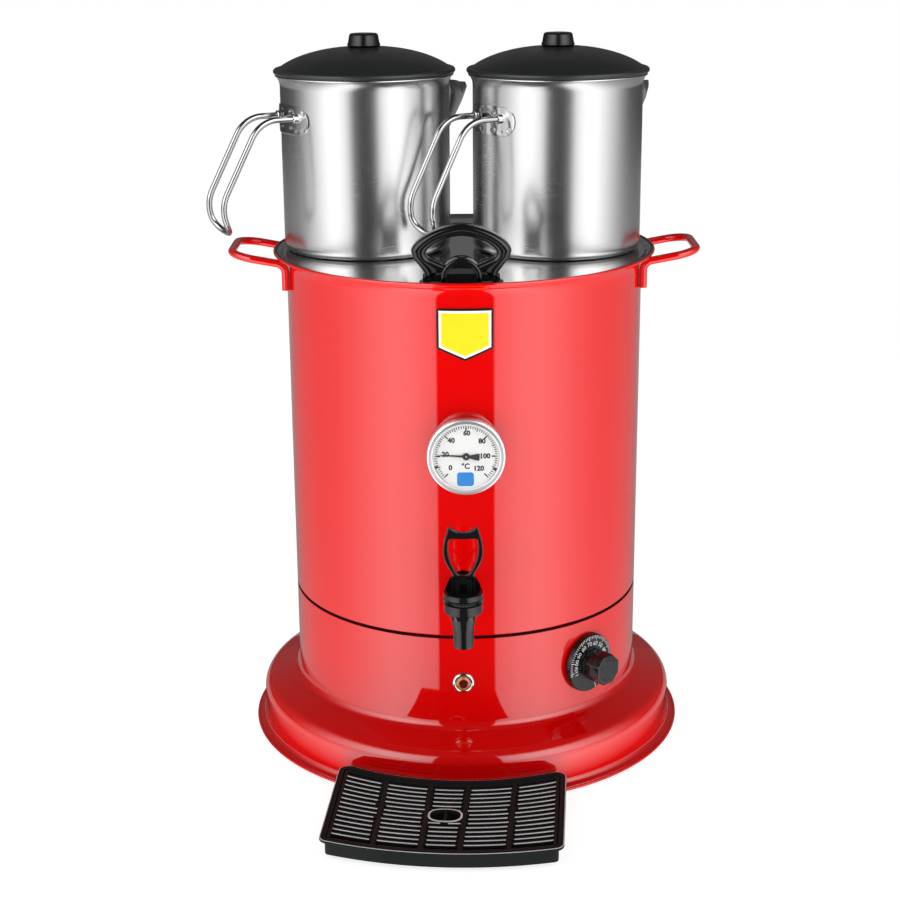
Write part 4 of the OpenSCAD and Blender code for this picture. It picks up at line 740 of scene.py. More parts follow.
def wall_profile():
    """Section of the upper casing: up the outside, over the flare and its bead, down the inside."""
    low = SEAM_Z + SEAM_GAP / 2
    tip = 180 - FLARE_TURN
    mid = FLARE_R + SHELL_T / 2
    a = math.radians(tip)
    edge = bead(FLARE_X + mid * math.cos(a), FLARE_Z + mid * math.sin(a), RIM_BEAD_R, tip - 90, SHELL_T)
    foot = rounded([(BODY_R - SHELL_T, low, 0), (BODY_R - 0.2, low, 0), (BODY_R, low + 0.5, 0.2),
                    (BODY_R, 200, 0)], 3)
    return np.concatenate([
        foot, arc(FLARE_X, FLARE_Z, FLARE_R, 180, tip, 20), edge,
        arc(FLARE_X, FLARE_Z, FLARE_R + SHELL_T, tip, 180, 20), [[BODY_R - SHELL_T, 200]]])


def side_path():
    """Middle line of a side handle: up from its foot, out, along, and back down."""
    reach, gap = BODY_R + 47, ROD_HALF_GAP
    x = math.sqrt((BODY_R + ROD_R + 0.1) ** 2 - gap**2)
    foot, under, tip = FLARE_Z - 16.5, FLARE_Z + 6.2, FLARE_Z + 15.2
    corners = [(x, -gap, foot), (x, -gap, under), (reach, -gap, tip), (reach, gap, tip), (x, gap, under),
               (x, gap, foot)]
    radii = [9, 22, 22, 9]
    bends = [bend(corners[k], corners[k + 1], corners[k + 2], radii[k], 14) for k in range(4)]
    return np.concatenate([[corners[0]], *bends, [corners[-1]]])


def build_casing():
    """The foot and the upper wall, each a turned sheet, and a bent rod on each side."""
    foot = foot_profile()
    # Painted shade: the neck rows, seen through the seam gap, get a near-black finish
    neck_shade = ((foot[:, 1] > SEAM_Z - SEAM_GAP / 2 - 1.2) & (foot[:, 0] < BODY_R - 0.4)).astype(int)
    new_piece("casing_foot", "urn", "red_enamel", [skin(lathe(foot), True, finish=neck_shade)],
              ("base_skirt", "foot_ring"), "red_enamel seam_enamel")
    wall = wall_profile()
    # Painted shade: the inside of the upper wall, from the top of its bead down, gets a near-black finish
    inside = (np.arange(len(wall)) >= np.argmax(wall[:, 1])).astype(int)
    new_piece("casing_wall", "urn", "red_enamel", [skin(lathe(wall), True, finish=inside)],
              ("body_shell",), "red_enamel dark_ground_coat")
    for side, sign in (("left", -1), ("right", 1)):
        path = side_path() * [sign, 1, 1]
        new_piece(f"carrying_rod_{side}", "urn", "red_enamel", [skin(tube(path, ROD_R, 28))],
                  (f"side_handle_{side}",))


# ---------------------------------------------------------------- badge and thermometer


def inset_polygon(corners, d):
    """Corners where the sides of a polygon meet once each is moved inwards by d."""
    p = np.asarray(corners, float)
    along = unit(np.roll(p, -1, 0) - p)
    here = np.stack([-along[:, 1], along[:, 0]], 1)
    if np.sum(here * (p.mean(0) - p)) < 0:
        here = -here
    before = np.roll(here, 1, 0)
    det = before[:, 0] * here[:, 1] - before[:, 1] * here[:, 0]
    shift = np.stack([here[:, 1] - before[:, 1], before[:, 0] - here[:, 0]], 1)
    return p + d * shift / det[:, None]


def along_sides(corners, n=24):
    """Even points along every side of a closed polygon."""
    p = np.asarray(corners, float)
    k = np.linspace(0, 1, n, endpoint=False)[None, :, None]
    return (p[:, None] * (1 - k) + np.roll(p, -1, 0)[:, None] * k).reshape(-1, 2)


def on_cylinder(loop, out, x, z):
    """A flat loop laid on the casing: its height is kept and its depth follows the radius out."""
    px = loop[:, 0] + x
    return np.stack([px, -np.sqrt((BODY_R + out) ** 2 - px**2), loop[:, 1] + z], 1)


def build_badge():
    """Plain five-sided plate bent to the casing, with a black edge, a pale line and a plain field."""
    w, h = BADGE_W / 2, BADGE_H - BADGE_POINT
    corner = round_corners([(w, 0), (w, -h), (0, -BADGE_H), (-w, -h), (-w, 0)], 1.4)
    steps = [(0.0, 0.04, 0), (0.0, 0.7, 0), (0.15, 0.85, 0), (1.8, 0.85, 1), (1.83, 0.9, 1), (3.8, 0.9, 2),
             (3.83, 0.85, 2)]
    inset, face, _ = steps[-1]
    field = along_sides(inset_polygon(corner, inset), 8)
    middle = np.array([0, -BADGE_H * 0.45])
    loops = [(np.repeat(middle[None], len(field), 0), steps[0][1])]
    loops += [(along_sides(inset_polygon(corner, e), 8), out) for e, out, _ in steps]
    loops += [(middle + (field - middle) * (1 - k), face) for k in np.linspace(0, 1, 13)[1:]]
    grid = np.stack([on_cylinder(loop, out, BADGE_X, BADGE_Z) for loop, out in loops])
    kinds = [0, *(kind for _, _, kind in steps), *[2] * 11]
    new_piece("badge", "urn", "badge_print", [skin(grid, finish=kinds)], ("badge_plate",),
              "badge_border badge_line badge_print")


def dial_turn(value):
    """Turn of a reading from straight up, to the right: 0 to 120 over 270 degrees."""
    return (np.asarray(value, float) - 60) * 2.25


def dial_prints(top):
    """Scale, numbers, unit, end lines and end arrows of the dial, on its face at the height top."""
    r, low, high = GAUGE_R, top - INK_SUNK, top + INK_T
    value = np.arange(0, 121, 2)
    tens, twenties = value % 10 == 0, value % 20 == 0
    printed = [marks(dial_turn(value), np.where(tens, 0.7, 0.725) * r, SCALE_R, np.where(tens, 0.8, 0.66),
                     low, high),
               marks(dial_turn(value[twenties]), 0.645 * r, 0.74 * r, 1.15, low, high)]
    size = sizes().digit_height / MM
    for number, (x, y) in NUMBER_SEATS.items():
        printed.append(moved(digits(str(number), size, weight=0.05), x, y, top))
    printed.append(moved(digits("°C", size * 1.1, weight=0.04), -0.4, -8.4, top))
    for sign in (-1, 1):
        printed.append(marks(sign * np.linspace(117, 135, 10), 0.835 * r, 0.845 * r, 1.6, low, high))
    arrow = moved(prism([(-1.7, 1.7), (1.7, 1.7), (0, -1.7)], 0, INK_T), y=SCALE_R, z=top)
    printed += [moved(arrow, turn=-float(dial_turn(number))) for number in (10.8, 111.2)]
    return printed


def build_gauge():
    """Turned case, printed dial, needle with its tail, and a clear pane."""
    place = on_wall(0, GAUGE_X, GAUGE_Z, GAUGE_OUT)
    r, d = GAUGE_R, GAUGE_DEPTH
    case = rounded([(5.2, 0, 0), (r - 2, 0, 0.6), (r - 0.6, 1.6, 0.8), (r, 3, 0.5), (r, d - 3.4, 0.4),
                    (r - 0.5, d - 3.1, 0.2), (r - 0.5, d - 2.6, 0.2), (r, d - 2.3, 0.4), (r, d - 0.9, 0.8),
                    (r - 1.5, d, 1.0), (28.9, d - 0.5, 0.3), (28.4, d - 1, 0), (28.4, d - 2.6, 0),
                    (r - 2.9, d - 2.6, 0), (r - 2.9, 2, 0), (5.2, 2, 0)], 5)
    inner = ((case[:, 0] < 28.95) & (case[:, 1] > DIAL_Z)).astype(int)
    new_piece("gauge_rim", "urn", "gauge_bezel", [turned(case, place, 160, True, inner)], ("gauge_case",),
              "gauge_bezel gauge_face", crease=40)

    top = DIAL_Z + DIAL_T
    disc = rounded([(1.6, DIAL_Z, 0), (r - 3.3, DIAL_Z, 0), (r - 3.3, top, 0.2), (1.6, top, 0)], 3)
    half_w, tall, x, y = 7.0, 12.0, -0.6, -13.9
    corners = [(-half_w, 0), (half_w, 0), (half_w, -tall), (-half_w, -tall)]
    loop = along_sides(round_corners(corners, 2.4, 6), 2) + [x, y]
    middle = np.repeat([[x, y - tall / 2]], len(loop), 0)
    low, high = top - INK_SUNK, top + INK_T
    panel = levels([(middle, low), (loop, low), (loop, high), (middle, high)])
    parts = [turned(disc, place, 120, True), *(carried(part, place, 1) for part in dial_prints(top)),
             carried(skin(panel), place, 2)]
    new_piece("dial", "urn", "gauge_face", parts, ("gauge_dial",), "gauge_face dial_ink dial_panel")

    level = top + 0.7
    tip, tail = 0.77 * r, 0.34 * r
    half = rounded([(0, -tail, 0), (3.4, -tail, 1.0), (1.05, -2, 0), (1.0, 0, 0), (0.32, tip - 0.8, 0),
                    (0, tip, 0)], 4)
    blade = polar_loop(np.concatenate([half, half[-2:0:-1] * [-1, 1]]), np.zeros(2), 200)
    needle = levels([(blade * 0, level), (blade, level), (blade, level + 0.35), (blade * 0.9, level + 0.6),
                     (blade * 0, level + 0.6)])
    spin = place @ np.array(Matrix.Rotation(math.radians(READING_TURN), 4, "Z"))
    hub = rounded([(0, DIAL_Z - 7, 0), (0.8, DIAL_Z - 7, 0), (0.8, top + 0.6, 0), (3.1, top + 0.6, 0.2),
                   (3.1, top + 1.6, 0.4), (1.2, top + 1.8, 0.2), (0.9, top + 1.5, 0), (0, top + 1.5, 0)], 4)
    cap = [(0, top + 1.45), (0.6, top + 1.45), (0.6, top + 1.6), (0, top + 1.6)]
    new_piece("pointer", "gauge_pointer", "gauge_needle",
              [carried(skin(needle), spin), turned(hub, spin, 48), turned(cap, spin, 24, finish=1)],
              ("gauge_pointer",), "gauge_needle white_ink")
    pane = rounded([(0, d - 2.5, 0), (r - 3.2, d - 2.5, 0.3), (r - 3.2, d - 1, 0.3), (0, d - 1, 0)], 3)
    new_piece("pane", "urn", "gauge_glass", [turned(pane, place, 120)], ("gauge_lens",))


# ---------------------------------------------------------------- tap


def tap_profile():
    """Section of the spout and the barrel: outside up from the spout's end, then down the bore."""
    end, collar, top, r = SPOUT_Z + 4.4, COLLAR_Z, RING_Z, COLLAR_R
    return rounded([
        (6.0, end, 0), (8.3, end, 0.5), (8.6, end + 5, 8), (8.9, end + 17, 14), (10.6, end + 26, 14),
        (12.7, collar - 0.2, 0.4), (r - 0.5, collar, 0.3), (r + 0.1, collar + 0.8, 0.5),
        (r + 0.1, top - 1.2, 0.4), (r - 0.6, top - 0.5, 0.2), (13.5, top - 0.5, 0), (13.5, top + 6, 0),
        (11, top + 6, 0),
        (11, collar + 2, 0), (8.6, collar, 0), (8.6, SEAT_Z, 0), (5, SEAT_Z, 0), (5, SEAT_Z - 3, 0),
        (6, SEAT_Z - 3, 0)], 6)


def knurl(base, height, r, teeth, relief):
    """Turned ring whose outside swells and falls once for each tooth."""
    steps = teeth * 8
    circle = round_points(steps)
    wave = relief * (0.5 + 0.5 * np.cos(teeth * np.radians(np.arange(steps) * 360 / steps)))
    rows = [(13.6, 0, 0), (r - 0.8, 0, 0), (r - 0.1, 0.35, 0.6), (r, 0.9, 1), (r, height - 0.9, 1),
            (r - 0.1, height - 0.35, 0.6), (r - 0.8, height, 0), (13.6, height, 0)]
    return levels([((q + w * wave)[:, None] * circle, base + z) for q, z, w in rows])


def dome_profile():
    """Section of the bonnet before its front is cut open: its band, its ledge and the dome."""
    low, r = RING_Z + RING_H + 0.1, COLLAR_R + 0.4
    k = np.linspace(0.15, 1, 30)
    dome = np.stack([(r + 0.1) * np.sqrt(np.clip(1 - k**1.6, 0, 1)), SEAT_Z + 26 + 21.0 * k], 1)
    band = rounded([(13.6, low, 0), (r - 0.4, low, 0.2), (r, low + 0.7, 0.4), (r, LEDGE_Z - 0.7, 0.4),
                    (r - 0.5, LEDGE_Z - 0.1, 0.2)], 4)
    return np.concatenate([band, dome, [(0, low + 1.4), (11, low + 1.4), (11, low), (13.6, low)]])


def lever_outline():
    """Outside of the lever from its foot at the pin to its top corners, right half and its mirror image."""
    half = [(8, 1), (8, 7), (9.2, 10.2), (11.2, 13.4), (13.8, 18), (15.7, 22.8), (16.5, 27.4), (16.5, 32.2),
            (15.9, 36.8), (14.8, 41.4), (13.5, 45.6), (12.9, 48.6), (11.9, 50.6), (10.4, 50.2), (8, 48),
            (4, 46), (0, 45.5)]
    return np.array(half + [(-x, z) for x, z in half[-2::-1]])


def lever_opening():
    """Opening of the lever, right half and its mirror image."""
    half = [(0, 8.6), (3.2, 8.8), (5, 10), (7.2, 13.2), (9.4, 18), (11, 22.5), (12, 27), (12.3, 32),
            (12.1, 36.6), (11.4, 40.6), (7, 40.4), (0, 40)]
    return np.array(half + [(-x, z) for x, z in half[-2:0:-1]])


def block(x0, x1, half_y, z0, z1, edge=0.6):
    """Rounded block: loops of a rounded rectangle carried along X, set in at both ends."""
    y, h, middle = half_y, (z1 - z0) / 2, (z0 + z1) / 2
    loop = round_corners([(y, h), (-y, h), (-y, -h), (y, -h)], edge)
    rows = [(x0, 0.0), (x0, 1 - edge / y), (x0 + edge, 1.0), (x1 - edge, 1.0), (x1, 1 - edge / y), (x1, 0.0)]
    return levels([(loop * k + [0, middle], x) for x, k in rows])[..., [2, 0, 1]]


def build_tap():
    """Barrel with its shank and washer, knurled ring, cut-open dome, paddle, and the coil inside."""
    place = at_tap()
    outwards = on_wall(0, TAP_X, SEAT_Z + 5, 0)
    shank = rounded([(0, 137, 0), (8, 137, 0.6), (8, TAP_OUT - 4, 0), (0, TAP_OUT - 4, 0)], 3)
    washer = rounded([(8, 163.4, 0), (13, 163.4, 0.4), (13, 166.4, 0.8), (8, 166.4, 0)], 4)
    new_piece("tap_barrel", "urn", "black_plastic",
              [turned(tap_profile(), place, 96, True), turned(shank, outwards, 64),
               turned(washer, outwards, 96, True)], ("tap_body", "tap_spout"))
    ring = knurl(RING_Z, RING_H, COLLAR_R - 0.3, 48, 1.2)
    new_piece("tap_knurled_ring", "urn", "black_plastic", [carried(skin(ring, True), place)],
              ("tap_collar",))
    front, rear, cheek, slot, far = -5.2, 6.0, 9.6, 8.4, 30.0
    comb = [(-far, -far), (far, -far), (far, rear), (cheek, rear), (cheek, front), (slot, front),
            (slot, rear), (-slot, rear), (-slot, front), (-cheek, front), (-cheek, rear), (-far, rear)]
    well = [(-slot, front + 0.4), (slot, front + 0.4), (slot, 8.6), (-slot, 8.6)]
    rod = [(0, PIN_Z - 14), (2.55, PIN_Z - 14), (2.55, PIN_Z), (0, PIN_Z)]
    new_piece("tap_dome", "urn", "black_plastic", [turned(dome_profile(), place, 120)],
              ("tap_bonnet",), crease=28,
              cutters=[[carried(prism(comb, LEDGE_Z, PIN_Z + far), place)],
                       [carried(prism(well, PIN_Z - 7.3, PIN_Z + 0.5), place)], [turned(rod, place, 32)]])

    centre = np.array([0.0, LEVER_H * 0.52])
    outer = polar_loop(smooth_line(lever_outline(), 2), centre, 300)
    inner = polar_loop(smooth_line(lever_opening(), 2), centre, 300)
    pin = place @ np.array(Matrix.Translation((0, 0, PIN_Z)))
    web = block(-3, 3, 0.5, 1.2, 8) + [0, -4.0, 0]
    blocks = (block(-8, -2.7, 4.5, -7, 6), block(2.7, 8, 4.5, -7, 6), web)
    parts = [carried(skin(hoop(outer, inner, LEVER_T / 2, 1.1), True), pin)]
    parts += [carried(skin(solid), pin) for solid in blocks]
    new_piece("tap_paddle", "tap_lever", "black_plastic", parts, ("tap_lever",))

    low, high, turns = SEAT_Z + 11.4, PIN_Z - 11.5, 5
    along = np.linspace(0, 1, 48 * turns + 1)
    a = 2 * np.pi * turns * along
    coil = np.stack([5.2 * np.cos(a), 5.2 * np.sin(a), low + (high - low) * along], 1)
    spring = new_piece("tap_coil", "urn", "spring_steel",
                       [carried(skin(tube(coil, 0.6, 12, (0, 0, 1))), place)], ("tap_spring",))
    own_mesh(spring)


# ---------------------------------------------------------------- lamp and thermostat


def build_lamp():
    """Chrome rim, and a faceted lens with a ruby core sunk in its middle."""
    place = on_wall(0, LAMP_X, LAMP_Z, BODY_R + 0.05)
    rim = rounded([(6.7, 0, 0), (9.2, 0, 0.2), (9.5, 0.5, 0.3), (8.9, 1.5, 0.6), (7.9, 1.95, 0.5),
                   (7.2, 1.6, 0.3), (6.7, 0.9, 0)], 5)
    new_piece("lamp_rim", "urn", "chrome_trim", [turned(rim, place, 96, True)], ("lamp_bezel",))
    facets = round_points(12, 15)
    rows = [(0, 0), (6.65, 0), (6.65, 1.6), (6.2, 2.3), (4.3, 3.1), (4.2, 2.7), (3.4, 2.5), (0, 2.5)]
    jewel = levels([(r * facets, z) for r, z in rows])
    new_piece("lamp_jewel", "urn", "amber_lens", [carried(skin(jewel, finish=[0, 0, 0, 0, 0, 1, 1]), place)],
              ("lamp_lens",), "amber_lens lamp_core", crease=10)


def knob_angle(value):
    """Turn of a number on the knob, counted from the right against the clock."""
    return 2 + (np.asarray(value, float) - 30) * 2.35


def build_knob():
    """Numbered skirt and eight-sided grip with softened edges and a turned ring in its end."""
    place = on_wall(KNOB_TURN, 0, KNOB_Z, BODY_R + 0.8)
    top, end, grip_r, ring = 4.7, KNOB_REACH - 0.8, 14.5, 0.64
    skirt = rounded([(3, 2.5, 0), (20, 2.5, 0), (20, 0, 0), (KNOB_R - 0.4, 0, 0.3), (KNOB_R, 0.6, 0.3),
                     (KNOB_R - 0.2, 3.0, 0.8), (KNOB_R - 0.8, top, 0.4), (14, top, 0.3),
                     (12.6, top + 0.6, 0), (3, top + 0.6, 0)], 5)
    loop = round_corners(grip_r * round_points(8, 22.5), 1.2)
    circle = grip_r * round_points(len(loop), 22.5)
    rows = [(0, 3), (1, 3), (1, end - 0.9), (0.985, end - 0.35), (0.94, end), (ring + 0.02, end),
            (ring, end - 0.25), (ring - 0.02, end - 0.25), (ring - 0.04, end), (0, end)]
    grip = levels([((circle if k < 0.7 else loop) * k, z) for k, z in rows])
    glossy = (np.arange(len(rows) - 1) < 4) * 2
    parts = [turned(skirt, place, 128, True), carried(skin(grip, finish=glossy), place)]

    value = np.arange(28, 113, 2)
    tens = value % 10 == 0
    low, high = top - 0.03, top + INK_T
    printed = [marks(90 - knob_angle(value), np.where(tens, 21.8, 23.2), 25.9, np.where(tens, 0.6, 0.4),
                     low, high),
               marks(90 + 75, 19.5, 25.9, 0.5, low, high)]
    for number in range(30, 111, 10):
        digit = moved(digits(str(number), 4.0), 0, 18.6, top)
        printed.append(moved(digit, turn=float(knob_angle(number)) - 90))
    parts += [carried(part, place, 1) for part in printed]
    new_piece("knob", "thermostat_knob", "black_plastic", parts, ("thermostat_knob",),
              "satin_plastic white_ink black_plastic")


# ---------------------------------------------------------------- lid handle


def lens(a, b, z, power, start=0, end=180, n=60):
    """Flattened arch: half width a and height b over z, with the exponent 2/power on cosine and sine."""
    t = np.radians(np.linspace(start, end, n + 1))
    c, s = np.cos(t), np.sin(t)
    return np.stack([a * np.sign(c) * np.abs(c) ** (2 / power), z + b * np.abs(s) ** (2 / power)], 1)


def build_lid_handle():
    """Grooved loop round its opening, a raised round boss in its foot, and the pad under it."""
    w, h, half = 41.25, 48.3, 8.0
    place = np.array(Matrix.Translation((-3.5, 10 - BODY_R, LID_Z)))
    foot = [(w * 0.82, 0.2), (w * 0.8, 1.2), (w * 0.755, 3), (w * 0.72, 6), (w * 0.75, 9), (w * 0.85, 14.5),
            (w * 0.96, 20)]
    outer = np.concatenate([foot, lens(w, h - 26, 26, 1.6), [(-x, z) for x, z in foot[::-1]]])
    hand_w, hand_z = w - 12.2, h - 10.1
    boss_r, boss_z = 17.25, 3.15
    inner = np.concatenate([[(hand_w * 0.94, 21)], lens(hand_w, hand_z - 24, 24, 1.7),
                            [(-hand_w * 0.94, 21)], arc(0, boss_z, boss_r, 142, 38, 30)])
    outer, inner = (polar_loop(line, np.array([0.0, 28.5]), 320) for line in (outer, inner))
    for _ in range(3):
        inner = sum(weight * np.roll(inner, k - 1, 0) for k, weight in enumerate((0.25, 0.5, 0.25)))
    grid = hoop(outer, inner, half, sizes().edge_radius / MM, grooves=(0.24, 0.7), sink=0.8)
    sunk = np.isin(np.arange(len(grid)), (14, 33)).astype(int)
    seat = np.concatenate([arc(0, boss_z, boss_r, -10, 190, 60),
                           [(-boss_r + 0.6, 0.2), (boss_r - 0.6, 0.2)]])
    rows = [(0, -half + 0.3), (1.2, -half), (0.4, -half + 1.2), (0, -half + 3), (0, half - 0.6),
            (0.5, half + 0.3), (1.4, half + 0.8), (3.6, half + 0.8), (4.6, half + 0.3), (5.2, half - 1.2),
            (5.6, half - 1.4)]
    boss = slab(seat, np.array([0.0, 6.5]), rows, 160)
    pad = rounded([(0, 0, 0), (33.8, 0, 0), (35.2, 0.5, 0.3), (33.6, 1.3, 0.4), (0, 1.3, 0)], 4)
    new_piece("lid_loop", "urn_lid", "black_plastic",
              [carried(skin(grid, True, finish=sunk), place), carried(skin(boss), place),
               carried(skin(lathe(pad, 96) * [1, 0.27, 1]), place)], ("lid_handle",),
              "moulded_grip moulded_panel", crease=40)


# ---------------------------------------------------------------- pots


def pot_profile():
    """Section of a pot: outside up to its rolled rim, inside down to the middle of its base."""
    rim_z, flare_z, c = POT_H - 3.5, POT_H - 12.5, 6.0

    def wall(e):
        """Base, corner, straight wall and curved flare, moved in by e."""
        s = np.linspace(0, 1, 14)
        low = np.linspace(8, flare_z, 24)[:-1]
        return np.concatenate([[[0, e]], arc(POT_R - c, c, c - e, 270, 360, 10),
                               np.stack([np.full(23, POT_R - e), low], 1),
                               np.stack([POT_R - e + 3.5 * s**2, flare_z + (rim_z - flare_z) * s], 1)])

    edge = bead(POT_R + 3.5 - POT_T / 2, rim_z, 0.9, 90, POT_T)
    return np.concatenate([wall(0), edge, wall(POT_T)[::-1]])


def grip_path():
    """Middle line of a pot handle: two rods on one profile, joined by a half circle at their low end."""
    corner, knee = np.array([POT_R + 33, GRIP_Z]), np.array([POT_R + 80, POT_H - 123.5])
    r1, r2, start, g = 27.0, 30.0, POT_R - 0.6, GRIP_HALF_GAP
    turn = math.atan2(corner[1] - knee[1], knee[0] - corner[0])
    cut = r1 * math.tan(turn / 2)
    l1 = corner[0] - cut - start
    l2 = l1 + r1 * turn
    run = np.linalg.norm(knee - corner) - cut - r2 * math.tan(math.radians(45.3))
    l3, last = l2 + run, l2 + run + r2 * math.radians(74)
    ahead, side = np.array([math.cos(turn), -math.sin(turn)]), np.array([-math.sin(turn), -math.cos(turn)])
    p2 = corner + ahead * cut
    middle = p2 + ahead * run + side * r2

    def profile(length):
        """Points at lengths along the rod: straight out, round, straight down, round."""
        b1, b2 = np.clip((length - l1) / r1, 0, turn), (length - l3) / r2
        first = np.stack([start + length, np.full_like(length, corner[1])], 1)
        second = np.stack([corner[0] - cut + r1 * np.sin(b1), corner[1] - r1 * (1 - np.cos(b1))], 1)
        third = p2 + ahead * (length - l2)[:, None]
        fourth = middle - side * r2 * np.cos(b2)[:, None] + ahead * r2 * np.sin(b2)[:, None]
        pick = np.searchsorted([l1, l2, l3], length, "right")[:, None]
        return np.where(pick == 0, first, np.where(pick == 1, second, np.where(pick == 2, third, fourth)))

    along = np.linspace(0, last - g, 60)
    b = np.radians(np.linspace(0, 180, 32))
    sides, hook = profile(along), profile(last - g + g * np.sin(b))
    one = np.column_stack([sides[:, 0], np.full(60, g), sides[:, 1]])
    turn_points = np.column_stack([hook[:, 0], g * np.cos(b), hook[:, 1]])
    return np.concatenate([one, turn_points[1:-1], (one * [1, -1, 1])[::-1]])


def bracket_grid():
    """Stadium-shaped plate bent round the pot, with a pressed rib line and spot-weld dimples."""
    flat, r = BRACKET_HALF - BRACKET_H / 2, BRACKET_H / 2
    a = np.radians(np.linspace(-90, 90, 24))
    end = np.stack([flat + r * np.cos(a), r * np.sin(a)], 1)
    top = np.stack([np.linspace(flat, -flat, 24)[1:-1], np.full(22, r)], 1)
    loop = np.concatenate([end, top, -end, -top])
    spine = np.stack([np.clip(loop[:, 0], -flat, flat), np.zeros(len(loop))], 1)
    steps = [(0.0, 0.0), (0.0, 0.9), (0.02, 1.15), (0.06, 1.2)]
    steps += [(k, 1.2) for k in np.linspace(0.14, 1, 22)]
    welds = np.array([(x, z) for x in (-26, -9, 9, 26) for z in (-7.5, 7.5)] + [(-17.5, -9), (17.5, -9)])
    rows = []
    for k, out in steps:
        p = loop * (1 - k) + spine * k
        reach = np.linalg.norm(p[:, None] - welds[None], axis=2)
        dent = 0.55 * np.exp(-((reach / 1.5) ** 2)).sum(1) if k > 0.05 else 0
        bearing = p[:, 0] / POT_R
        radius = POT_R + 0.05 + out - dent
        rows.append(np.stack([radius * np.cos(bearing), radius * np.sin(bearing), p[:, 1] + BRACKET_Z], 1))
    back = spine[:, 0] / POT_R
    rows.insert(0, np.stack([(POT_R + 0.05) * np.cos(back), (POT_R + 0.05) * np.sin(back),
                             np.full(len(loop), BRACKET_Z)], 1))
    return np.stack(rows)


def gutter():
    """Pouring gutter: round sections from a keel line up to its edges, which climb the wall to the lip.

    It is a sheet with an outer and an inner side, closed at its foot and at its lip.
    """
    s = np.linspace(0, 1, 44)
    keel = np.stack([POT_R - 0.2 + 28.2 * s**1.1, 0 * s, POT_H - 73.5 + 54 * s], 1)
    knots = np.array([(POT_R - 0.2, 0, POT_H - 73.5), (POT_R - 0.9, 11.5, POT_H - 44),
                      (POT_R - 2.6, 17.5, POT_H - 22), (POT_R - 2.4, 20, POT_H - 12),
                      (POT_R + 9, 16.5, POT_H - 12.6), (POT_R + 22.5, 7.5, POT_H - 14.3),
                      (POT_R + 28, 0.6, POT_H - 19.5)])
    span = np.concatenate([[0], np.cumsum(np.linalg.norm(np.diff(knots, axis=0), axis=1))])
    edge = np.stack([np.interp(s, span / span[-1], knots[:, k]) for k in range(3)], 1)
    u = np.radians(np.linspace(-90, 90, 33))

    def sheet(inset):
        """One side of the sheet: half circles that rise by 1 less the cosine and sway by the sine."""
        rise, sway = 1 - np.cos(u)[None, :, None], np.sin(u)[None, :]
        points = keel[:, None] * (1 - rise) + edge[:, None] * rise
        points[..., 1] = edge[:, 1:2] * sway * (1 - inset / 30)
        points[..., 0] -= inset
        return points * [-1, 1, 1]

    points, faces, _ = skin(np.concatenate([sheet(0), sheet(0.9)[:, ::-1]], 1))
    k = np.arange(32)
    ends = [row * 66 + np.stack([k, k + 1, 64 - k, 65 - k], 1) for row in (0, 43)]
    faces = np.concatenate([faces, *ends])
    return points, faces, np.zeros(len(faces), int)


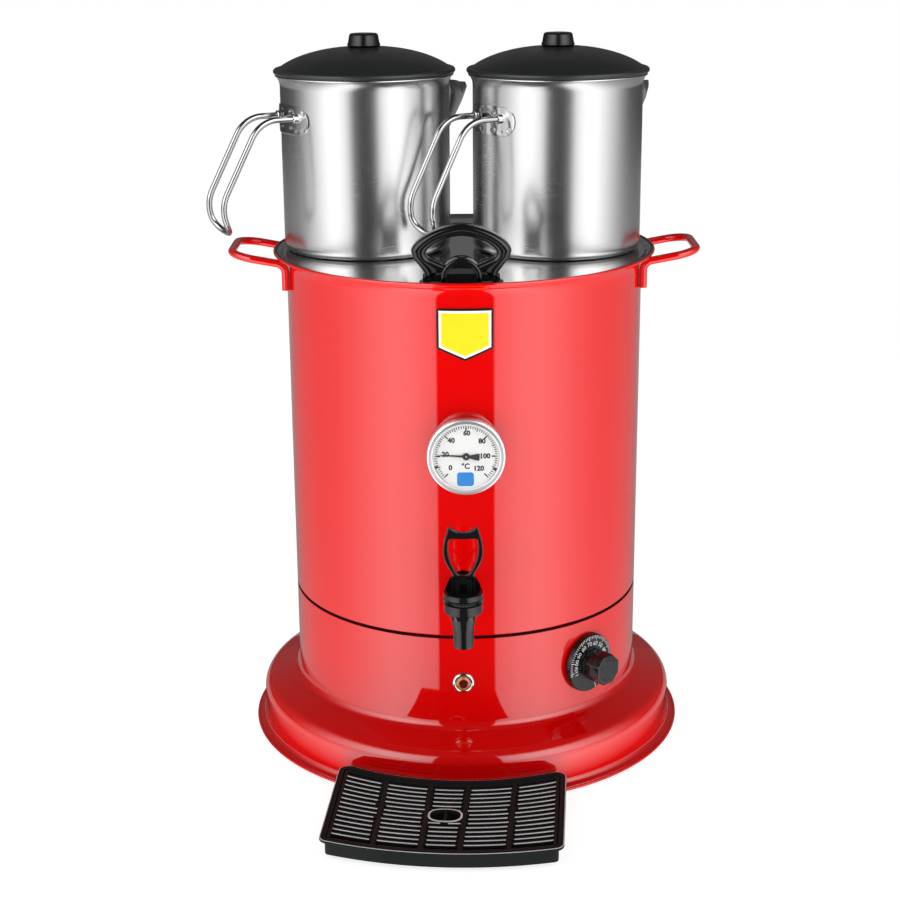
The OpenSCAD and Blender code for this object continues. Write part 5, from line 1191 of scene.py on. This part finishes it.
def build_pot(side):
    """Can with its strainer holes, gutter, handle plate and loop, and a lid with its button."""
    place = at_pot(side)
    pot, lid, steel = f"pot_{side}", f"pot_{side}_lid", f"pot_steel_{side}"
    outwards = Matrix.Rotation(math.pi / 2, 4, "Y")
    drill = rounded([(0, -4, 0), (2.2, -4, 0), (2.2, 4, 0), (0, 4, 0)], 2)
    holes = []
    for row in range(4):
        for k in (-1, 0, 1):
            hole = Matrix.Rotation(math.radians(180 + k * (4 + 1.6 * row)), 4, "Z")
            hole = hole @ Matrix.Translation((POT_R, 0, POT_H - 41 + 7.5 * row)) @ outwards
            holes.append(turned(drill, place @ np.array(hole), 20))
    new_piece(f"{pot}_can", pot, "pot_steel", [turned(pot_profile(), place, 200)], (f"{pot}_body",), steel,
              crease=40, cutters=[holes])
    new_piece(f"{pot}_gutter", pot, "pot_steel", [carried(gutter(), place)], (f"{pot}_spout",), steel,
              crease=50)

    ring = rounded([(2.6, 72.2, 0), (4.2, 72.2, 0), (4.2, 77.4, 0.5), (3.6, 78.0, 0.3), (2.6, 78.0, 0)], 4)
    collars = []
    for y in (-GRIP_HALF_GAP, GRIP_HALF_GAP):
        collar = Matrix.Translation((0, y, GRIP_Z)) @ outwards
        collars.append(turned(ring, place @ np.array(collar), 40, True))
    new_piece(f"{pot}_plate", pot, "polished_steel", [carried(skin(bracket_grid()), place), *collars],
              (f"{pot}_bracket",))
    new_piece(f"{pot}_loop", pot, "polished_steel",
              [carried(skin(tube(grip_path(), GRIP_ROD_R, 24, (0.93, 0.0, 0.37))), place)],
              (f"{pot}_handle",), "rod_steel")

    roll_r = 2.5
    roll_x = POT_LID_R - roll_r
    s = np.linspace(0, 1, 40)

    def dome(e):
        """Section of the lid's crown, lowered by e."""
        return np.stack([(roll_x - 1) * s, POT_H + 1.2 - e + 19.3 * np.clip(1 - s**2.3, 0, 1) ** 0.8], 1)

    crown = np.concatenate([dome(0), dome(0.9)[::-1]])
    skirt_r = POT_R - POT_T - 0.5
    skirt = rounded([(skirt_r - 0.8, POT_H - 11, 0), (skirt_r, POT_H - 11, 0.2), (skirt_r, POT_H + 3.4, 0),
                     (skirt_r - 0.8, POT_H + 3.4, 0)], 3)
    roll = arc(roll_x, POT_H, roll_r, 0, 360, 24)[:-1]
    new_piece(f"{pot}_cover", lid, "lid_black",
              [turned(crown, place, 200), turned(roll, place, 200, True), turned(skirt, place, 160, True)],
              (lid,))
    z, r = POT_H + 20.8, 14.8
    button = rounded([(0, z, 0), (r - 0.8, z, 0.3), (r, z + 0.9, 0.5), (r - 0.9, z + 3, 2),
                      (r - 2.1, z + 9.6, 1.4), (r - 3.4, z + 11, 1.0), (r - 4.6, z + 10.7, 0.4),
                      (0, z + 10.7, 0)], 6)
    stud = [(0, z - 8), (2, z - 8), (2, z), (0, z)]
    nut = [(0, z - 4.8), (5, z - 4.8), (5, z - 1.5), (0, z - 1.5)]
    new_piece(f"{pot}_button", lid, "lid_black",
              [turned(button, place, 96), turned(stud, place, 24), turned(nut, place, 6)], (f"{pot}_knob",),
              "satin_plastic")


# ---------------------------------------------------------------- drip tray


def tray_loop(e):
    """Plan of the tray, set in by e: arcs about the urn's axis front and rear, joined by straight sides."""
    w, front, rear, c = TRAY_HALF_W - e, TRAY_FRONT_R - e, TRAY_REAR_R + e, max(TRAY_CORNER_R - e, 1.0)
    fy = math.sqrt((front - c) ** 2 - (w - c) ** 2)
    ry = math.sqrt((rear + c) ** 2 - (w - c) ** 2)
    fa = math.degrees(math.atan2(-fy, w - c))
    ra = math.degrees(math.atan2(ry, c - w))
    return np.concatenate([
        arc(w - c, -fy, c, 0, fa, 10), arc(0, 0, front, fa, -180 - fa, 90),
        arc(c - w, -fy, c, -180 - fa, -180, 10), arc(c - w, -ry, c, 180, 180 - ra, 10),
        arc(0, 0, rear, -ra, ra - 180, 90), arc(w - c, -ry, c, ra, 0, 10)])


def tray_rows(section):
    """The tray's plan at each inset and height of a section."""
    return levels([(tray_loop(e), z) for e, z in section])


def bar(r, start, end, width=SLOT_W, thick=GRILLE_T, n=28):
    """One bar of the grille: an oval section carried along an arc about the urn's axis.

    The section is a circle whose cosine and sine keep their signs and are raised to a power. The front
    edge gets a painted highlight, apart from where the cross ribs meet it.
    """
    a = np.radians(np.linspace(start, end, n))
    c, s = round_points(16).T
    power = 0.62
    out = width / 2 * np.sign(c) * np.abs(c) ** power
    up = thick / 2 * np.sign(s) * np.abs(s) ** power
    reach = r + out[None]
    grid = np.stack([reach * np.sin(a)[:, None], -reach * np.cos(a)[:, None],
                     GRILLE_Z + thick / 2 + up[None] + 0 * a[:, None]], 2)
    first, last = (np.repeat(grid[k].mean(0)[None], 16, 0)[None] for k in (0, -1))
    across = r * np.sin(np.interp(np.arange(n + 1) - 0.5, np.arange(n), a))
    clear = np.abs(across[:, None] - RIBS).min(1) > sizes().rib_width / MM / 2 + 1.7
    clear[:1] = clear[-1:] = False
    points, faces, _ = skin(np.concatenate([first, grid, last]))
    return points, faces, (clear[:, None] * PAINTED_HIGHLIGHT_EDGE).reshape(-1)


def build_tray():
    """Pan with a painted highlight on its bead line, and the grille of bars, ribs and a finger hole."""
    place = in_tray()
    centre = [0.0, (-TRAY_REAR_R - TRAY_FRONT_R) / 2]
    top, floor = TRAY_TOP_Z, TRAY_Z + 2
    section = rounded([(7.5, TRAY_Z, 0), (4.5, TRAY_Z, 0.6), (4.5, 17, 0.3), (0, 17, 0.4), (0, top, 0.9),
                       (1.9, top, 0.2), (2.3, top - 0.35, 0.1), (2.7, top, 0.2), (5.3, top, 0.6),
                       (5.3, 15, 0.1), (6.5, 15, 0.3), (6.5, floor, 1.5), (9, floor, 0)], 4)
    rows = tray_rows(section)

    def pole(z):
        """A row drawn to one point, which closes the pan's floor."""
        return np.repeat(np.array([[*centre, z]]), rows.shape[1], 0)[None]

    # Painted highlight: the bead on the pan's top edge gets the pale finish
    highlight_bead = (section[:, 0] < 0.75) & (section[:, 1] > top - 0.45)
    pan = np.concatenate([pole(TRAY_Z), rows, pole(floor)])
    rims = np.concatenate([[0], highlight_bead.astype(int)])
    new_piece("tray_pan", "drip_tray", "tray_plastic", [carried(skin(pan, finish=rims), place)],
              ("drip_tray",), "tray_plastic worn_plastic", crease=38)

    low, high = GRILLE_Z, GRILLE_Z + GRILLE_T
    border = rounded([(9, low, 0), (5.6, low, 0.2), (5.6, high + 0.3, 0.8), (7.0, high + 0.5, 0.5),
                      (9, high, 0.5), (9, low, 0)], 4)[:-1]
    parts = [skin(tray_rows(border), True)]
    first = TRAY_REAR_R + 9 + SLOT_W
    ring_w, ring_d = FINGER_W + FINGER_RIM, FINGER_D + FINGER_RIM
    for k in range(14):
        r = first + SLOT_W / 2 + k * SLOT_PITCH
        reach = math.degrees(math.asin((TRAY_HALF_W - 8.5) / r))
        gap = 1 - ((r + FINGER_AT) / ring_d) ** 2
        if gap > 0:
            stop = math.degrees(math.asin(ring_w * math.sqrt(gap) / r))
            parts += [bar(r, -reach, -stop), bar(r, stop, reach)]
        else:
            parts.append(bar(r, -reach, reach, n=56))
    rib = sizes().rib_width / MM
    for x in RIBS:
        near, far = (math.sqrt(q * q - x * x) for q in (TRAY_REAR_R + 8, TRAY_FRONT_R - 8))
        strip = block(near, far, rib / 2, low - 0.2, high + 0.15, 0.7)
        parts.append(skin(np.stack([strip[..., 1] + x, -strip[..., 0], strip[..., 2]], 2)))
    top = high + 0.5
    collar = rounded([(0, low, 0), (1, low, 0.05), (1, top, 0.3), (0, top, 0.3), (0, low, 0)], 5)[:-1]
    wide, deep = (half + FINGER_RIM * collar[:, :1] for half in (FINGER_W, FINGER_D))
    c, s = round_points(96).T
    oval = np.stack([wide * np.sign(c) * np.abs(c) ** 0.8, deep * np.sign(s) * np.abs(s) ** 0.8,
                     collar[:, 1:] + 0 * c], 2)
    row = np.arange(len(collar))
    # Painted highlight: a band on the finger hole's raised rim gets the pale finish
    lit = ((row >= 7) & (row < 14)).astype(int)
    divider = block(-FINGER_D - 0.5, FINGER_D + 0.5, 1.2, low, high - 0.2, 0.5)
    parts += [moved(skin(oval, True, finish=lit), y=FINGER_AT), moved(skin(divider), y=FINGER_AT, turn=90)]
    new_piece("tray_grille", "drip_grille", "tray_plastic", [carried(part, place) for part in parts],
              ("drip_grille",), "tray_plastic worn_plastic", crease=38)


# ---------------------------------------------------------------- carried-over solids


def dress_frame():
    """Gives every CAD node that stays the finish of its slot."""
    for name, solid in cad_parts.items():
        for holder in solid.material_slots:
            label = holder.material.name.split(".")[0] if holder.material else ""
            if label == "pot_steel":
                label = "pot_steel_right" if "right" in name else "pot_steel_left"
            key = FINISH_OF_NODE.get(name, label)
            if key not in finishes:
                raise RuntimeError(f"node {name} has the slot {label!r}, which has no finish")
            holder.link = "OBJECT"
            holder.material = finishes[key]


# ---------------------------------------------------------------- stage


def surround(tree, vector):
    """Level of the banded studio in a direction."""
    return use_group(tree, "Studio surround", Vector=vector)["Color"]


def seen(tree, path, *rays):
    """1 for a ray of any of the kinds named, else 0."""
    total = path.outputs[rays[0]]
    for ray in rays[1:]:
        total = math_node(tree, "MAXIMUM", total, path.outputs[ray])
    return total


def build_world(scene):
    """Pale world. Gloss shows the banded studio there, lifted above the horizon and dim behind."""
    world = bpy.data.worlds.new("pale_studio")
    scene.world = world
    world.use_nodes = True
    tree = world.node_tree
    tree.nodes.clear()
    path = add(tree, "ShaderNodeLightPath")
    direction = add(tree, "ShaderNodeTexCoord").outputs["Generated"]
    split = add(tree, "ShaderNodeSeparateXYZ", {0: direction})
    rear = remap(tree, split.outputs["Y"], -0.15, 0.35, 1.0, 0.2)
    lift = remap(tree, split.outputs["Z"], 0.04, 0.2, 1.0, 1.7)
    overhead = remap(tree, split.outputs["Z"], 0.6, 0.78)
    bright = add(tree, "ShaderNodeVectorMath",
                 {0: surround(tree, direction), "Scale": math_node(tree, "MULTIPLY", lift, rear)},
                 operation="SCALE")
    glow = mix_colour(tree, overhead, bright.outputs[0], (0.06, 0.06, 0.06))
    shade = mix_colour(tree, path.outputs["Is Glossy Ray"], (0.42, 0.42, 0.42), glow)
    straight = seen(tree, path, "Is Camera Ray", "Is Transmission Ray")
    shade = mix_colour(tree, straight, shade, (1, 1, 1))
    back = add(tree, "ShaderNodeBackground", {"Color": shade, "Strength": 1.0})
    add(tree, "ShaderNodeOutputWorld", {"Surface": back.outputs[0]})


def build_floor(scene):
    """Pale round floor that keeps the urn's shadow; gloss sees the banded studio and a painted shadow by the
    foot.
    """
    mesh = mesh_from("floor", [skin(lathe([(0, -0.2), (sizes().floor_radius / MM, -0.2)], 96))])
    floor = bpy.data.objects.new("floor", mesh)
    scene.collection.objects.link(floor)
    pale = bpy.data.materials.new("pale_floor")
    pale.use_nodes = True
    tree = pale.node_tree
    tree.nodes.clear()
    path = add(tree, "ShaderNodeLightPath")
    here = add(tree, "ShaderNodeTexCoord").outputs["Object"]
    apex = add(tree, "ShaderNodeMapping", {"Vector": here, "Location": (0, 0.077, 0)}).outputs[0]
    grain = use_group(tree, "Surface relief", Vector=here, Scale=40.0)["Patches"]
    tone = mix_colour(tree, grain, (0.46, 0.46, 0.46), (0.5, 0.5, 0.5))
    matte = add(tree, "ShaderNodeBsdfDiffuse", {"Color": tone})
    reach = add(tree, "ShaderNodeVectorMath", {0: here}, operation="LENGTH").outputs["Value"]
    # Painted shadow: to gloss, the floor is near black out to 0.215 m from the axis and reaches the studio's
    # level by 0.25 m
    glow = mix_colour(tree, remap(tree, reach, 0.215, 0.25), (0.03, 0.03, 0.03), surround(tree, apex))
    shade = mix_colour(tree, path.outputs["Is Glossy Ray"], (2.1, 2.1, 2.1), glow)
    straight = seen(tree, path, "Is Camera Ray", "Is Transmission Ray")
    shade = mix_colour(tree, straight, shade, (0.8, 0.8, 0.8))
    lit = add(tree, "ShaderNodeEmission", {"Color": shade, "Strength": 1.0})
    both = add(tree, "ShaderNodeAddShader", {0: matte.outputs[0], 1: lit.outputs[0]})
    only = add(tree, "ShaderNodeMixShader",
               {0: path.outputs["Is Glossy Ray"], 1: both.outputs[0], 2: lit.outputs[0]})
    add(tree, "ShaderNodeOutputMaterial", {"Surface": only.outputs[0]})
    mesh.materials.append(pale)


def build_stage():
    """Pale floor, even world, two soft lamps and the camera."""
    scene = bpy.context.scene
    scene.view_settings.view_transform = "Standard"
    build_world(scene)
    build_floor(scene)

    for name, x, power in LAMPS:
        lamp = bpy.data.lights.new(name, "AREA")
        lamp.shape, lamp.size, lamp.size_y, lamp.energy = "RECTANGLE", 1.3, 1.5, power
        holder = bpy.data.objects.new(name, lamp)
        scene.collection.objects.link(holder)
        holder.location = (x, *LAMP_PLACE)
        aim = -holder.location
        aim.z += LAMP_AIM_Z
        holder.rotation_euler = aim.to_track_quat("-Z", "Y").to_euler()
        holder.visible_glossy = False
        holder.visible_camera = False

    camera = bpy.data.cameras.new("camera")
    camera.lens, camera.sensor_width, camera.shift_x = CAMERA_LENS, 36.0, CAMERA_SHIFT
    viewer = bpy.data.objects.new("camera", camera)
    scene.collection.objects.link(viewer)
    tilt = Matrix.Rotation(math.radians(CAMERA_TILT), 4, "X")
    viewer.matrix_world = Matrix.Translation(CAMERA_AT) @ tilt @ Matrix.Rotation(CAMERA_ROLL, 4, "Z")
    scene.camera = viewer


# ---------------------------------------------------------------- operators


class URN_OT_finishes(bpy.types.Operator):
    """Make the shared effects and the finishes, and put them on the frame's own pieces"""

    bl_idname = "urn.finishes"
    bl_label = "Finishes"

    def execute(self, context):
        make_groups()
        make_finishes()
        dress_frame()
        return {"FINISHED"}


class URN_OT_casing(bpy.types.Operator):
    """Build the enamelled casing, its foot and its side handles"""

    bl_idname = "urn.casing"
    bl_label = "Casing"

    def execute(self, context):
        build_casing()
        return {"FINISHED"}


class URN_OT_badge(bpy.types.Operator):
    """Build the plain badge under the rim"""

    bl_idname = "urn.badge"
    bl_label = "Badge"

    def execute(self, context):
        build_badge()
        return {"FINISHED"}


class URN_OT_gauge(bpy.types.Operator):
    """Build the dial thermometer"""

    bl_idname = "urn.gauge"
    bl_label = "Thermometer"

    def execute(self, context):
        build_gauge()
        return {"FINISHED"}


class URN_OT_tap(bpy.types.Operator):
    """Build the tap and its lever"""

    bl_idname = "urn.tap"
    bl_label = "Tap"

    def execute(self, context):
        build_tap()
        return {"FINISHED"}


class URN_OT_controls(bpy.types.Operator):
    """Build the pilot lamp and the thermostat's knob"""

    bl_idname = "urn.controls"
    bl_label = "Lamp and knob"

    def execute(self, context):
        build_lamp()
        build_knob()
        return {"FINISHED"}


class URN_OT_lid_handle(bpy.types.Operator):
    """Build the moulded handle of the urn's lid"""

    bl_idname = "urn.lid_handle"
    bl_label = "Lid handle"

    def execute(self, context):
        build_lid_handle()
        return {"FINISHED"}


class URN_OT_pots(bpy.types.Operator):
    """Build the two pots with their lids and handles"""

    bl_idname = "urn.pots"
    bl_label = "Pots"

    def execute(self, context):
        for side in POT_PLACES:
            build_pot(side)
        return {"FINISHED"}


class URN_OT_tray(bpy.types.Operator):
    """Build the drip tray and its grille"""

    bl_idname = "urn.tray"
    bl_label = "Drip tray"

    def execute(self, context):
        build_tray()
        return {"FINISHED"}


class URN_OT_stage(bpy.types.Operator):
    """Set the floor, the light and the camera"""

    bl_idname = "urn.stage"
    bl_label = "Stage"

    def execute(self, context):
        build_stage()
        return {"FINISHED"}


OPERATORS = (URN_OT_finishes, URN_OT_casing, URN_OT_badge, URN_OT_gauge, URN_OT_tap, URN_OT_controls,
             URN_OT_lid_handle, URN_OT_pots, URN_OT_tray, URN_OT_stage)


class URN_PT_panel(bpy.types.Panel):
    """Lists the urn's pieces and its settings"""

    bl_idname = "URN_PT_panel"
    bl_label = "Hot water urn"
    bl_space_type = "VIEW_3D"
    bl_region_type = "UI"
    bl_category = "Urn"

    def draw(self, context):
        for settings in (context.scene.urn_sizes, context.scene.urn_colours):
            for key in settings.__annotations__:
                self.layout.prop(settings, key)
        for operator in OPERATORS:
            self.layout.operator(operator.bl_idname)


CLASSES = (UrnSizes, UrnColours, *OPERATORS, URN_PT_panel)


def register():
    """Registers the classes, and gives every scene its sizes and colours."""
    for item in CLASSES:
        bpy.utils.register_class(item)
    bpy.types.Scene.urn_sizes = bpy.props.PointerProperty(type=UrnSizes)
    bpy.types.Scene.urn_colours = bpy.props.PointerProperty(type=UrnColours)


def unregister():
    """Takes back what register gave."""
    del bpy.types.Scene.urn_colours
    del bpy.types.Scene.urn_sizes
    for item in reversed(CLASSES):
        bpy.utils.unregister_class(item)


def main():
    """Runs every operator in order."""
    register()
    for operator in OPERATORS:
        area, name = operator.bl_idname.split(".")
        getattr(getattr(bpy.ops, area), name)()


if __name__ == "__main__":
    main()
